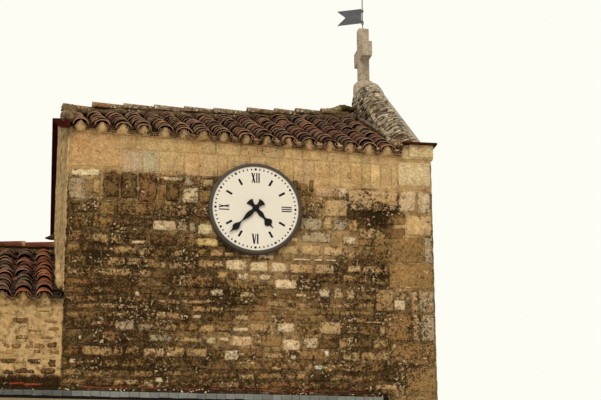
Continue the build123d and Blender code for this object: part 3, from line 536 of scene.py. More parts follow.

# %% [markdown]
# ## The clock wall
#
# The wall's upper band is dressed slabs with thin joints, the right corner is large quoins, and the rest is
# coursed rubble in which single paler stones stand out. Those are placed one by one, by name of tone, with
# their edges in metres from the clock's centre line and from the ground. Rows between them are filled.

# %% Stones of the clock wall
PLACED = [
    ("pale", -1.95, -1.64, 6.27, 6.36), ("grey", -1.965, -1.785, 6.01, 6.265),
    ("buff", -1.72, -1.63, 6.09, 6.26), ("dark", -1.61, -1.43, 6.05, 6.33),
    ("dark", -1.42, -1.24, 6.05, 6.34), ("red", -1.24, -1.03, 6.03, 6.33),
    ("pale", -1.02, -0.77, 6.26, 6.31), ("dark", -0.95, -0.80, 6.03, 6.25),
    ("grey", -0.76, -0.65, 6.21, 6.32), ("pale", -0.78, -0.60, 6.02, 6.20),
    ("tan", -0.56, -0.44, 6.20, 6.30), ("brown", 0.48, 0.58, 6.00, 6.30), ("tan", 0.65, 0.885, 6.15, 6.27),
    ("pale", 0.90, 1.01, 6.15, 6.27), ("tan", 0.75, 1.01, 5.94, 6.135), ("tan", 1.02, 1.57, 6.01, 6.255),
    ("cream", 1.58, 1.765, 6.02, 6.265), ("cream", 1.78, 1.935, 6.01, 6.265),
    ("brown", -1.47, -1.02, 5.86, 6.01), ("brown", -1.00, -0.83, 5.86, 6.01),
    ("tan", -0.84, -0.77, 5.96, 6.00), ("tan", -0.77, -0.72, 5.90, 5.95), ("grey", 0.48, 0.73, 5.78, 5.92),
    ("tan", 0.75, 0.84, 5.78, 5.94), ("grey", 0.85, 1.00, 5.78, 5.93), ("buff", 1.01, 1.12, 5.78, 5.92),
    ("tan", 1.65, 1.935, 5.76, 6.00), ("tan", -1.43, -1.34, 5.70, 5.74), ("tan", -1.30, -1.24, 5.70, 5.73),
    ("dark", -1.40, -1.10, 5.745, 5.85), ("pale", -1.08, -0.83, 5.71, 5.83),
    ("grey", -0.82, -0.71, 5.71, 5.83), ("grey", -0.70, -0.62, 5.71, 5.82),
    ("pale", -0.61, -0.44, 5.685, 5.81), ("grey", 0.50, 0.83, 5.64, 5.765),
    ("pale", 0.38, 0.46, 5.65, 5.70), ("pale", 0.94, 1.10, 5.63, 5.73), ("brown", 1.12, 1.28, 5.62, 5.72),
    ("buff", -1.70, -1.53, 5.55, 5.67), ("buff", -1.52, -1.40, 5.55, 5.67),
    ("dark", -1.38, -1.14, 5.61, 5.67), ("pale", -1.30, -1.15, 5.56, 5.60),
    ("dark", -1.11, -0.82, 5.55, 5.68), ("brown", -0.80, -0.72, 5.55, 5.67),
    ("yellow", -0.62, -0.38, 5.555, 5.655), ("tan", 0.25, 0.465, 5.50, 5.61),
    ("tan", 0.49, 0.715, 5.50, 5.615), ("tan", 0.735, 0.95, 5.50, 5.615), ("buff", 1.00, 1.10, 5.48, 5.58),
    ("white", 0.41, 0.60, 5.445, 5.465), ("white", 0.64, 0.73, 5.445, 5.467),
    ("white", 0.77, 0.88, 5.447, 5.468), ("pale", -1.54, -1.47, 5.485, 5.515),
    ("pale", -1.37, -1.33, 5.49, 5.52), ("tan", -1.22, -1.15, 5.43, 5.52),
    ("pale", -1.02, -0.97, 5.47, 5.50), ("buff", -0.49, -0.33, 5.45, 5.54),
    ("tan", -0.32, -0.22, 5.455, 5.51), ("tan", -0.15, -0.02, 5.46, 5.49), ("pale", 0.04, 0.21, 5.45, 5.50),
    ("pale", -0.31, -0.07, 5.315, 5.43), ("pale", -0.05, 0.15, 5.305, 5.42),
    ("pale", 0.17, 0.34, 5.305, 5.415), ("tan", 0.355, 0.63, 5.30, 5.415), ("tan", 0.65, 0.86, 5.30, 5.415),
    ("buff", -0.91, -0.75, 5.30, 5.38), ("brown", -0.74, -0.61, 5.30, 5.39),
    ("tan", -0.99, -0.93, 5.31, 5.38), ("tan", -1.69, -1.59, 5.34, 5.37), ("tan", 1.00, 1.15, 5.33, 5.41),
    ("yellow", -0.52, -0.43, 5.34, 5.37), ("pale", -0.18, -0.06, 5.21, 5.29),
    ("pale", 0.05, 0.18, 5.215, 5.285), ("tan", -0.40, -0.28, 5.22, 5.30),
    ("pale", 0.21, 0.46, 5.125, 5.24), ("buff", 0.94, 1.10, 5.22, 5.31),
    ("brown", -0.88, -0.42, 5.11, 5.25), ("dark", -1.44, -1.27, 5.02, 5.22),
    ("yellow", 0.53, 0.60, 5.14, 5.165), ("pale", 0.68, 0.81, 5.05, 5.14), ("tan", 0.84, 0.945, 5.04, 5.16),
    ("tan", 0.98, 1.08, 5.04, 5.15), ("yellow", 0.44, 0.55, 5.05, 5.085),
    ("pale", -0.47, -0.32, 5.03, 5.11), ("tan", -0.15, 0.00, 5.03, 5.09),
    ("pale", -1.25, -1.20, 5.00, 5.06), ("pale", -0.90, -0.86, 5.03, 5.06),
    ("tan", -1.01, -0.92, 4.945, 4.975), ("tan", -0.75, -0.65, 4.96, 4.98),
    ("buff", -0.66, -0.33, 4.85, 4.93), ("buff", -1.02, -0.75, 4.77, 4.85),
    ("pale", -0.65, -0.56, 4.79, 4.83), ("tan", -0.21, -0.06, 4.78, 4.84),
    ("pale", -1.62, -1.56, 4.74, 4.78), ("grey", -1.45, -1.25, 4.64, 4.75),
    ("grey", -1.21, -1.05, 4.64, 4.72), ("buff", -0.57, -0.42, 4.64, 4.73),
    ("pale", -0.22, -0.06, 4.66, 4.71), ("pale", -0.23, -0.02, 4.51, 4.62),
    ("pale", -0.50, -0.40, 4.52, 4.60), ("pale", -0.37, -0.26, 4.55, 4.60),
    ("grey", -1.09, -0.86, 4.53, 4.61), ("buff", -0.84, -0.54, 4.53, 4.60),
    ("tan", -1.15, -0.93, 4.37, 4.47), ("pale", -0.31, -0.16, 4.355, 4.47),
    ("white", -1.60, -1.55, 4.50, 4.545), ("white", -1.82, -1.78, 4.53, 4.58),
    ("yellow", -1.63, -1.59, 4.38, 4.42), ("pale", -1.90, -1.83, 4.29, 4.34),
    ("red", -1.76, -1.55, 4.28, 4.36), ("pale", -1.03, -0.94, 4.105, 4.17),
    ("pale", 0.24, 0.44, 4.66, 4.775), ("pale", 0.30, 0.48, 4.475, 4.60), ("pale", 0.52, 0.67, 4.50, 4.62),
    ("tan", 0.69, 0.92, 4.65, 4.80), ("tan", 1.33, 1.40, 4.65, 4.76), ("tan", 0.10, 0.31, 4.39, 4.45),
    ("pale", 0.38, 0.44, 4.38, 4.43), ("white", 0.74, 0.79, 4.42, 4.49), ("white", 0.63, 0.72, 4.28, 4.33),
    ("tan", 0.17, 0.30, 4.27, 4.31), ("pale", 1.47, 1.51, 4.53, 4.575), ("tan", 1.17, 1.40, 4.79, 4.81)]
QUOINS = [
    ("brown", 1.29, 1.83, 5.46, 5.745), ("grey", 1.845, 1.935, 5.46, 5.745),
    ("brown", 1.45, 1.935, 5.175, 5.445), ("buff", 1.30, 1.49, 4.92, 5.16),
    ("pale", 1.50, 1.62, 4.94, 5.05), ("tan", 1.69, 1.76, 4.925, 5.15), ("grey", 1.775, 1.935, 4.92, 5.16),
    ("brown", 1.40, 1.69, 4.61, 4.90), ("tan", 1.70, 1.77, 4.615, 4.90), ("grey", 1.785, 1.935, 4.61, 4.90),
    ("brown", 1.45, 1.935, 4.35, 4.59), ("brown", 1.62, 1.935, 4.07, 4.33)]
SLABS = [("buff", -1.95, -1.445, 6.385, 6.75), ("cream", 1.575, 1.935, 6.32, 6.59)]
upper_joints = [-1.44, -1.27, -0.83, -0.42, -0.15, 0.08, 0.32, 0.52, 0.79, 1.02, 1.26, 1.57]
lower_joints = [-1.43, -1.32, -1.195, -1.02, -0.86, -0.755, -0.60, -0.40, -0.29, -0.22, -0.05, 0.12, 0.27, 0.42,
                0.53, 0.65, 0.815, 0.935, 1.05, 1.17, 1.27, 1.38, 1.50, 1.57]
frieze_fall = -0.0155

front = wall_frame((0.0, 0.0, 0.0), (0.0, -1.0, 0.0))
rng = np.random.default_rng(7)


def lean(a, z):
    """The frieze follows the eaves, which fall towards the right, and its tops reach the eaves course."""
    level = z + frieze_fall * (a + 1.95)
    reach = 6.771 - (a + 1.975) * 0.0378 - (6.722 + frieze_fall * (a + 1.95))
    return a, level + reach * np.clip((z - 6.603) / 0.119, 0, 1)


frieze = [(a + 0.003, b - 0.003, 6.603, 6.722) for a, b in zip(upper_joints[:-1], upper_joints[1:])]
frieze += [(a + 0.003, b - 0.003, 6.352 if a < 0.41 else 6.322, 6.597)
           for a, b in zip(lower_joints[:-1], lower_joints[1:])]
frieze_tones = ["grey" if cell[1] < -1.0 and cell[3] < 6.6 else "tan" for cell in frieze]
stones("frieze_slabs", front, frieze, frieze_tones, 11, proud=0.003, edge=0.006, corners=0.03, wavy=0.004,
       warp=lean, clean=0.35, wear_and_painted_light=0.35)
stones("corner_slabs", front, [c[1:] for c in SLABS], [c[0] for c in SLABS], 12, proud=0.004, edge=0.007,
       corners=0.06, wavy=0.004, clean=0.4, wear_and_painted_light=0.35)
stones("right_quoins", front, [c[1:] for c in QUOINS], [c[0] for c in QUOINS], 13, proud=0.005, edge=0.012,
       corners=0.08, wavy=0.008, clean=0.15, wear_and_painted_light=0.5)

placed_cells = [c[1:] for c in PLACED]
bright = {"cream": 0.9, "pale": 0.8, "yellow": 0.9, "white": 1.0, "tan": 0.6, "grey": 0.5, "buff": 0.35}
stones("picked_stones", front, placed_cells, [c[0] for c in PLACED], 14, proud=0.010, edge=0.022, corners=0.35,
       wavy=0.05, clean=np.array([bright.get(c[0], 0.0) for c in PLACED]))

dial_low, dial_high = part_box("clock_dial")
clock_x, clock_z = (dial_low[0] + dial_high[0]) / 2, (dial_low[2] + dial_high[2]) / 2
clock_hole = []
for a in np.radians(range(-80, 81, 10)):
    half, z = 0.46 * math.cos(a), clock_z + 0.46 * math.sin(a)
    clock_hole.append((-half, half, z - 0.05, z + 0.05))
rows = [4.06, 4.15, 4.25, 4.37, 4.50, 4.64, 4.76, 4.85, 4.93, 5.01, 5.10, 5.19, 5.305, 5.43, 5.55, 5.695,
        5.85, 6.02, 6.19, 6.345]
taken = placed_cells + [c[1:] for c in QUOINS] + clock_hole
cells = fill_courses(rows, lambda a, b: (-1.965, 1.62 if b < 4.34 else 1.44 if b < 5.2 else 1.93), taken, rng,
                     length=0.21, joint=0.008, rough=0.016)
tone_pick = rng.choice(["brown", "dark", "red", "buff", "brown"], len(cells))
stones("rubble_between", front, cells, list(tone_pick), 15, proud=0.009, edge=0.022, corners=0.25, wavy=0.04,
       clean=rng.normal(0.05, 0.22, len(cells)), wear_and_painted_light=0.6,
       warp=lambda a, z: (a, z + 0.008 * np.sin(5.1 * a + 3 * z) + 0.005 * np.sin(11.7 * a - 5 * z)))

# %% [markdown]
# ## The other walls
#
# Behind, at the ends and below the ledge nothing was photographed, so those walls are filled with the same
# courses: rubble between larger corner stones. Windows, the doorway and the gable slopes cut the rows short.

# %% Rows of rubble on every other wall
def wall_rows(foot, top, rng, height=0.17):
    """Levels from foot to top about height apart, each a little off."""
    count = max(1, int(round((top - foot) / height)))
    levels = np.linspace(foot, top, count + 1)
    levels[1:-1] += rng.uniform(-0.15, 0.15, count - 1) * (top - foot) / count
    return list(levels)


def mixed(count, rng, names):
    return list(rng.choice(list(names), count))


def plain_wall(name, place, width, foot, top, seed, taken=(), slope=None, height=0.17, slot="weathered_wall",
               proud=0.012):
    """Courses from 0 to width, with long and short stones by turns at both ends. slope, its start and its run
    for each metre up, narrows a gable. taken is what openings keep free."""
    rng = np.random.default_rng(seed)
    levels = wall_rows(foot, top, rng, height)
    reach = 0.008

    def span(a, b):
        if slope is None:
            return -reach, width + reach
        low = slope[0] + (b - foot) * slope[1]
        return (low, width - low) if width - 2 * low > 0.1 else None

    corner_cells = []
    for k, (a, b) in enumerate(zip(levels[:-1], levels[1:])):
        edges = span(a, b)
        if edges is None:
            continue
        long_one, short_one = (0.44, 0.26) if k % 2 else (0.26, 0.44)
        for c in ((edges[0], edges[0] + long_one, a + 0.006, b - 0.006),
                  (edges[1] - short_one, edges[1], a + 0.006, b - 0.006)):
            if c[1] - c[0] < (edges[1] - edges[0]) * 0.45 and not any(
                    min(c[1], t[1]) > max(c[0], t[0]) and min(c[3], t[3]) > max(c[2], t[2]) for t in taken):
                corner_cells.append(c)
    everything = corner_cells + fill_courses(levels, span, list(taken) + corner_cells, rng, 0.34)
    tones = mixed(len(everything), rng, ("tan", "buff", "grey", "brown", "pale", "buff"))
    return stones(name, place, everything, tones, seed + 1, proud=proud, edge=0.014, corners=0.4, wavy=0.03,
                  clean=0.3, slot=slot)


def arch_block(u, half, foot, spring, step, inner, outer, spare):
    """Cells that keep stones off a round-headed opening whose middle is u across the wall."""
    blocks = [(u - half, u + half, foot, spring)]
    for a in range(step, 91, step):
        w = half * math.cos(math.radians(a - step / 2))
        blocks.append((u - w, u + w, spring + inner * math.sin(math.radians(a - step)),
                       spring + outer * math.sin(math.radians(a)) + spare))
    return blocks


WINDOW_X, SPRING = -5.075, 3.25
WINDOW = (0.40, 2.12, SPRING, 10, 0.375, 0.385, 0.012)
DOOR = (0.80, 0.0, 1.75, 8, 0.78, 0.79, 0.01)
nave_front = wall_frame((NAVE_LEFT, 0, 0), (0, -1, 0))
nave_back = wall_frame((BAY_LEFT, DEPTH, 0), (0, 1, 0))
nave_end = wall_frame((NAVE_LEFT, DEPTH, 0), (-1, 0, 0))
gable_end = wall_frame((BAY_RIGHT, 0, 0), (1, 0, 0))
side_wall = wall_frame((BAY_LEFT, DEPTH, 0), (-1, 0, 0))
window_u = WINDOW_X - NAVE_LEFT
plain_wall("clock_wall_foot", wall_frame((BAY_LEFT, 0, 0), (0, -1, 0)), 3.92, 0.0, 3.84, 21)
plain_wall("bay_back_stones", wall_frame((BAY_RIGHT, DEPTH, 0), (0, 1, 0)), 3.92, 0.0, 6.64, 23)
plain_wall("gable_stones", gable_end, DEPTH, 0.0, 6.62, 25, arch_block(RIDGE_Y, *DOOR), proud=0.005)
plain_wall("gable_top_stones", gable_end, DEPTH, 6.92, 8.06, 27, slope=(0.34, 1.53), height=0.15)
plain_wall("nave_front_foot", nave_front, 6.19, 0.0, 3.85, 29, arch_block(window_u, *WINDOW), slot="rubble_wall")
plain_wall("nave_back_stones", nave_back, 6.2, 0.0, 4.90, 31, arch_block(BAY_LEFT - WINDOW_X, *WINDOW),
           slot="rubble_wall")
plain_wall("nave_end_stones", nave_end, DEPTH, 0.0, 4.88, 33, slot="rubble_wall")
plain_wall("nave_gable_stones", nave_end, DEPTH, 4.88, 5.84, 35, slope=(0.16, 2.36), height=0.15,
           slot="rubble_wall")


def side_span(foot, top, half):
    """The bay's side wall shows between the nave roof below and its own verge above, on one half."""
    lower = max(foot, 4.98)
    inner = (lower - 4.93) / 0.42 if lower < 5.98 else RIDGE_Y
    outer = 0.0 if top < 6.72 else (top - 6.72) * 2.62
    if inner - outer < 0.12 and lower < 5.98:
        return None
    edges = (outer - (0.006 if outer == 0 else 0), min(inner, RIDGE_Y) - 0.01)
    return edges if half else (DEPTH - edges[1], DEPTH - edges[0])


rng = np.random.default_rng(37)
side_levels = wall_rows(5.05, 7.56, rng, 0.16)
side_cells = []
for half in (True, False):
    side_cells += fill_courses(side_levels, lambda a, b: side_span(a, b, half), [], rng, 0.26)
side_cells = [c for c in side_cells if c[1] - c[0] > 0.07]
stones("side_wall_stones", side_wall, side_cells, mixed(len(side_cells), rng, ("tan", "yellow", "buff", "pale")), 38,
       proud=0.008, edge=0.012, corners=0.4, wavy=0.03, clean=0.8, slot="dressed_stone")

# %% [markdown]
# The nave's front wall is plastered with ochre mortar up to the faces of its stones, so only low flat faces
# show, and a few dark lichened ones near the ledge.

# %% Flush stones of the nave front
rng = np.random.default_rng(41)
nave_rows = wall_rows(4.07, 4.90, rng, 0.092)
nave_cells = fill_courses(nave_rows, lambda a, b: (0.0, 5.56), [], rng, length=0.13, joint=0.03, rough=0.02)
keep = rng.random(len(nave_cells)) < 0.62
nave_cells = [c for c, k in zip(nave_cells, keep) if k]
nave_tones = mixed(len(nave_cells), rng, ("buff", "brown", "brown", "dark"))
stones("nave_flush_stones", nave_front, nave_cells, nave_tones, 42, proud=0.003, edge=0.020, corners=0.9,
       wavy=0.10, clean=-0.5, slot="rubble_wall", wear_and_painted_light=0.7)
# Tone, left, right, foot and top of each stone face at the nave's corner with the bay.
NAVE_FACES = [
    ("red", -2.48, -2.32, 4.68, 4.75), ("brown", -2.33, -2.19, 4.60, 4.63),
    ("brown", -2.12, -2.01, 4.62, 4.66), ("brown", -2.17, -2.05, 4.70, 4.74),
    ("brown", -2.45, -2.31, 4.52, 4.57), ("brown", -2.20, -2.08, 4.53, 4.56),
    ("dark", -2.12, -2.03, 4.44, 4.51), ("brown", -2.26, -2.15, 4.43, 4.49),
    ("brown", -2.35, -2.26, 4.43, 4.48), ("brown", -2.49, -2.39, 4.43, 4.48),
    ("brown", -2.56, -2.50, 4.43, 4.48), ("brown", -2.27, -2.19, 4.38, 4.42),
    ("brown", -2.10, -2.00, 4.38, 4.42), ("buff", -2.54, -2.46, 4.36, 4.42),
    ("dark", -2.59, -2.43, 4.27, 4.33), ("dark", -2.32, -2.18, 4.27, 4.33),
    ("dark", -2.11, -2.03, 4.24, 4.33), ("dark", -2.44, -2.24, 4.17, 4.23),
    ("dark", -2.19, -2.03, 4.17, 4.24), ("dark", -2.57, -2.45, 4.16, 4.21),
    ("buff", -2.31, -2.26, 4.88, 4.90), ("buff", -2.57, -2.49, 4.78, 4.80),
    ("brown", -2.23, -2.11, 4.81, 4.83)]
stones("nave_picked_stones", nave_front, [(c[1] - NAVE_LEFT, c[2] - NAVE_LEFT, c[3], c[4]) for c in NAVE_FACES],
       [c[0] for c in NAVE_FACES], 43, proud=0.004, edge=0.020, corners=0.9, wavy=0.10,
       clean=np.array([{"dark": -2.0, "buff": 0.2}.get(c[0], -0.5) for c in NAVE_FACES]), wear_and_painted_light=0.7, slot="rubble_wall")

# %% [markdown]
# ## Canal tiles
#
# A canal tile is half a tapered tube. Pans lie open side up, covers lie over the gaps between them, and each
# course laps the one below. One tile is a thin closed shell: a half ellipse outside, a smaller one inside,
# at three stations along its length. The wide end of a cover points down the slope, where it stands up by
# more than its own thickness, and that lip catches the light.

# %% Tile shells
TILE_TONES = {"soot": (50, 32, 25), "brown": (88, 55, 40), "rust": (116, 66, 44), "pink": (132, 92, 70),
              "sand": (146, 112, 82), "olive": (88, 74, 50), "slate": (66, 50, 38), "flame": (138, 74, 44)}
ARC = 8
TILE_RING = 2 * (ARC + 1)
TILE_LENGTH = 0.27
FRONT_EAVES_Y, BACK_EAVES_Y, ROOF_RUN = -0.1, 4.7, 2.4
half_turn = np.radians(np.linspace(-88, 88, ARC + 1))


def inward(front_side):
    """The direction into the church along Y, and the y of the roof's edge, from either long side."""
    return (1.0, FRONT_EAVES_Y) if front_side else (-1.0, BACK_EAVES_Y)


def tile_faces():
    """The sides of a shell of three closed sections, and strips that close both ends."""
    quads, last = tube_faces(3, TILE_RING, caps=False), 2 * TILE_RING
    for i in range(ARC):
        quads.append((i, TILE_RING - 1 - i, TILE_RING - 2 - i, i + 1))
        quads.append((last + i, last + i + 1, last + TILE_RING - 2 - i, last + TILE_RING - 1 - i))
    return quads


def tile_shells(n, width_low, width_high, rise, thick, up, rng):
    """Sections (n, stations, ring, 3) as across, along and height. x = w sin t, h = rise cos t, t from -88 to
    88 degrees; the inner line is the same with thick taken off. up is 1 for a cover and -1 for a pan."""
    along = np.array([0.0, 0.012, TILE_LENGTH])
    width = np.interp(along, [0, TILE_LENGTH], [width_low, width_high])[:, None]
    sine, cosine = np.sin(half_turn), np.cos(half_turn) * np.ones((3, 1))
    jitter = rng.normal(1.0, 0.03, (n, 1, 1))
    x = np.concatenate([width * sine, (width - thick) * sine[::-1]], axis=1)[None] * jitter
    h = np.concatenate([rise * cosine, (rise - thick) * cosine[:, ::-1]], axis=1)[None] * up
    h = h * rng.normal(1.0, 0.04, (n, 1, 1))
    y = along[None, :, None] + np.zeros((n, 3, TILE_RING))
    y[:, 0, :] += rng.normal(0, 0.003, (n, TILE_RING))
    lift = np.array([0.015, 0.013, -0.004])[None, :, None]
    h = h + lift * (1.0 if up > 0 else 0.8)
    twist = rng.normal(0, 0.035, (n, 1, 1))
    return x + twist * y, y, h


def tile_tones(n, rng, weights):
    picked = rng.choice(len(TILE_TONES), n, p=np.array(weights) / sum(weights))
    base = np.array([paint(*tone)[:3] for tone in TILE_TONES.values()])[picked]
    return base * rng.uniform(0.75, 1.25, (n, 1))


def roof_slope(name, crests, pans, eaves, ridge, front_side, seed, finish, thick=0.011, glow=9.0):
    """Covers on crests and pans between them. eaves(x) and ridge(x) are the slab's underside at both edges;
    a point goes along the slope in a straight line between them. The column at glow is a warmer red."""
    rng = np.random.default_rng(seed)
    courses = 14
    sign, start = inward(front_side)
    made, tones, lips = [], [], []
    for centres, up, low, high, rise, base, weights in (
            (crests, 1, 0.086, 0.066, 0.074, 0.022, [3, 5, 3.5, 3.5, 2.2, 2.2, 3.5, 1.8]),
            (pans, -1, 0.066, 0.080, 0.056, 0.060, [3, 4, 3, 1, 0.3, 1, 2, 0.5])):
        x = np.repeat(np.asarray(centres), courses)
        k = np.tile(np.arange(courses), len(centres))
        n, lapped = len(x), k > 0
        across, y, h = tile_shells(n, low, high, rise, thick, up, rng)
        slope_z = (ridge(x) - eaves(x)) / ROOF_RUN
        size = np.sqrt(1 + slope_z ** 2)
        s0 = k * (ROOF_RUN - 0.05) / courses
        s0 = s0 + np.where(lapped, rng.normal(0, 0.010, n), rng.normal(0.002, 0.002, n))
        s0 = np.clip(s0, 0.0, None)
        wander = rng.normal(0, 0.006, n) * lapped
        z0 = eaves(x) + slope_z * s0 + base + rng.normal(0, 0.003, n) + rng.exponential(0.004, n) * lapped
        along = np.stack([np.zeros(n), sign / size, slope_z / size], axis=1)
        normal = np.stack([np.zeros(n), -sign * slope_z / size, 1 / size], axis=1)
        origin = np.stack([x + wander, start + sign * s0, z0], axis=1)
        y = np.minimum(y, np.minimum(TILE_LENGTH, (ROOF_RUN - s0) * size)[:, None, None])
        points = (origin[:, None, None, :] + across[..., None] * np.array([1.0, 0.0, 0.0])
                  + y[..., None] * along[:, None, None, :] + h[..., None] * normal[:, None, None, :])
        points[..., 0] = np.maximum(points[..., 0], -8.24)
        points[..., 1] = np.clip(points[..., 1], FRONT_EAVES_Y, BACK_EAVES_Y)
        made.append(points.reshape(n, -1, 3))
        tone = tile_tones(n, rng, weights)
        warmer = tone * [0.7, 0.6, 0.5] + np.array(paint(150, 74, 40)[:3]) * 0.8
        tones.append(np.where((np.abs(x - glow) < 0.06)[:, None], warmer, tone))
        # lip marks the outer arc at each tile's low end, which the finish paints lighter: wear, and a painted
        # highlight.
        lip = np.zeros((n, 3, TILE_RING))
        lip[:, 0, :ARC + 1] = 1.0
        lip[:, 1, :ARC + 1] = 0.35
        lips.append(lip.reshape(n, -1) * rng.uniform(0.55, 1.1, (n, 1)))
    return joined(name, np.concatenate(made), tile_faces(), finish, "roof_tile",
                  tone=np.concatenate(tones), lip=np.concatenate(lips))


def tile_finish(name, lichen, lip_light):
    """Fired clay: its own tone, soot in clouds, a lip painted lighter for wear and as a painted highlight, and scabs
    of pale, olive and orange lichen.
    """
    f = Finish(name)
    clouds = f.noise(14.0, 5.0, 0.65)
    grit = f.noise(120.0, 4.0, 0.7)
    colour = f.shade(f.told("tone", "Color"), 0.20 + clouds * 0.65 + grit * 0.40)
    colour = f.blend(f.ease(f.noise(7.0, 5.0, 0.7), 0.46, 0.62) * 0.72, colour, paint(40, 24, 17))
    wear_and_painted_light = f.ease(f.told("lip") + (clouds - 0.5) * 0.7, 0.36, 0.80)
    colour = f.blend(wear_and_painted_light * 0.85, colour, f.shade(paint(196, 154, 116), lip_light))
    scab = f.ease(f.noise(32.0, 4.0, 0.7), 0.60, 0.70) * f.ease(f.noise(3.0, 3.0), 0.46, 0.62)
    colour = f.blend(scab * lichen, colour, paint(150, 144, 112))
    moss = f.ease(f.noise(24.0, 4.0, 0.7), 0.62, 0.72) * f.ease(f.noise(2.1, 2.0), 0.52, 0.66)
    colour = f.blend(moss * lichen, colour, paint(190, 120, 50))
    return f.done(colour, 0.88, grit * 0.4 + clouds * 0.5 + scab * 0.4, 0.008)


def level_line(left_z, right_z):
    """A roof's edge over the bay: its height at x, from the open verge to the parapet's inner face."""
    return lambda x: left_z + (x - BAY_LEFT) * (right_z - left_z) / (PARAPET_IN - BAY_LEFT)


roof_clay = tile_finish("weathered_clay", 0.8, 1.12)
nave_clay = tile_finish("nave_clay", 0.5, 1.25)
bay_eaves, bay_ridge = level_line(6.775, 6.642), level_line(7.650, 7.790)
nave_eaves, nave_ridge_line = level_line(4.915, 4.915), level_line(5.950, 5.950)
bay_crests = np.array([-1.864, -1.637, -1.413, -1.195, -0.968, -0.768, -0.552, -0.337, -0.098, 0.125, 0.362, 0.586,
                       0.812, 1.040, 1.246, 1.450])
bay_pans = np.concatenate([(bay_crests[:-1] + bay_crests[1:]) / 2, [1.553]])
nave_crests = np.arange(-2.174, -8.12, -0.2110)
nave_pans = np.concatenate([(nave_crests[:-1] + nave_crests[1:]) / 2, [-2.068, -8.16]])
bay = (bay_crests, bay_pans, bay_eaves, bay_ridge)
nave = (nave_crests, nave_pans, nave_eaves, nave_ridge_line)
for part, lines, front_side, seed, clay, more in (
        ("bay", bay, True, 51, roof_clay, ()), ("bay", bay, False, 52, roof_clay, ()),
        ("nave", nave, True, 53, nave_clay, (0.009, -2.174)), ("nave", nave, False, 54, nave_clay, (0.009,))):
    side = "front" if front_side else "back"
    tiles = roof_slope(f"{part}_tiles_{side}", *lines, front_side, seed, clay, *more)
    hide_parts(f"{part}_roof_{side}")

# %% [markdown]
# Under the tiles lies a thin bed of boards and mortar, which keeps the roof closed, and at the eaves the mason
# filled the hollow of each cover with mortar. Seen from below these fillings are a row of pale humps.

# %% Roof bed and eaves mortar
def roof_bed(name, x0, x1, eaves, ridge, front_side, finish):
    """A thin sheet from just behind the eaves to the ridge: the slab's underside and 14 mm above it."""
    sign, start = inward(front_side)
    X, S = np.meshgrid(np.linspace(x0, x1, 9), np.linspace(0.075, ROOF_RUN, 7))
    low = eaves(X) + (ridge(X) - eaves(X)) * S / ROOF_RUN
    both = [np.stack([X, start + sign * S, z], axis=-1).reshape(-1, 3) for z in (low + 0.014, low)]
    return joined(name, np.concatenate(both)[None], slab_faces(*X.shape), finish, "roof_tile", smooth=False)


def stacked(lines):
    """Points of a tube from its lines, each (x, y, z) with one number for each station."""
    return np.stack([np.stack(line, axis=1) for line in lines], axis=1).reshape(1, -1, 3)


def eaves_fill(name, x0, x1, crests, eaves, front_side, finish, slot, seed, foot=None, step=0.020, dirt_and_shade=1.0):
    """A closed strip with a rounded boss in the hollow of each cover: 84 mm x cos(pi d / 0.17) high, where d is
    the distance to the nearest crest and the cosine stops at zero, and leaning out further the higher it is."""
    rng = np.random.default_rng(seed)
    xs = np.arange(x0, x1, 0.0125)
    gap = np.abs(xs[:, None] - crests[None, :]).min(axis=1)
    boss = np.clip(np.cos(np.pi * np.clip(gap / 0.17, 0, 0.5)), 0, 1) ** 1.1
    base = eaves(xs)
    low = base - 0.012 if foot is None else foot(xs)
    top = base + 0.010 + 0.084 * boss + rng.normal(0, 0.002, len(xs))
    sign, wall = (1.0, 0.0) if front_side else (-1.0, DEPTH)
    profile = [(step + 0.004 * boss ** 2, low), (step + 0.002 + 0.022 * boss ** 2, low + 0.3 * (top - low)),
               (step + 0.006 + 0.042 * boss ** 2, low + 0.7 * (top - low)), (step + 0.014 + 0.046 * boss ** 2, top),
               (-0.10 + 0 * boss, top + 0.05), (-0.10 + 0 * boss, low + 0.02)]
    r = len(profile)
    return joined(name, stacked([(xs, wall - sign * out, z) for out, z in profile]), tube_faces(len(xs), r), finish,
                  # rim paints the mortar darker between the bosses, under the pans, by dirt_and_shade x (1 - boss²):
                  # painted shade.
                  slot, rim=np.repeat(dirt_and_shade * (1 - boss ** 2), r)[None])


eaves_mortar = mortar_finish("eaves_mortar", paint(222, 184, 130), paint(140, 104, 66))
board = Finish("roof_boards")
grain = board.noise(8.0, 4.0, 0.6, board.stretch(1.0, 6.0, 6.0))
boards = board.done(board.blend(grain, paint(52, 40, 30), paint(92, 70, 50)), 0.9, grain, 0.004)
for label, x0, x1, eaves, ridge in (("bay", BAY_LEFT, PARAPET_IN, bay_eaves, bay_ridge),
                                    ("nave", NAVE_LEFT, BAY_LEFT, nave_eaves, nave_ridge_line)):
    for front_side, side in ((True, "front"), (False, "back")):
        roof_bed(f"{label}_bed_{side}", x0, x1, eaves, ridge, front_side, boards)
for front_side, side, seed in ((True, "front", 61), (False, "back", 62)):
    eaves_fill("bay_eaves_mortar_" + side, BAY_LEFT, PARAPET_IN, bay_crests, bay_eaves, front_side, eaves_mortar,
               "dressed_stone", seed, (lambda x: 6.777 - (x - BAY_LEFT) * 0.0378) if front_side else None)
for front_side, side, seed in ((True, "front", 63), (False, "back", 64)):
    eaves_fill("nave_eaves_mortar_" + side, NAVE_LEFT, BAY_LEFT, nave_crests, nave_eaves, front_side, nave_mortar,
               "rubble_wall", seed, lambda x: 4.86 + 0 * x, -0.002, 0.3)

# %% [markdown]
# ## Ridge tiles
#
# Ridge tiles are the same half tubes, larger, lapped along the ridge and bedded in lumpy mortar. The wide end
# of each lies over its neighbour, which gives the skyline its low saw teeth.

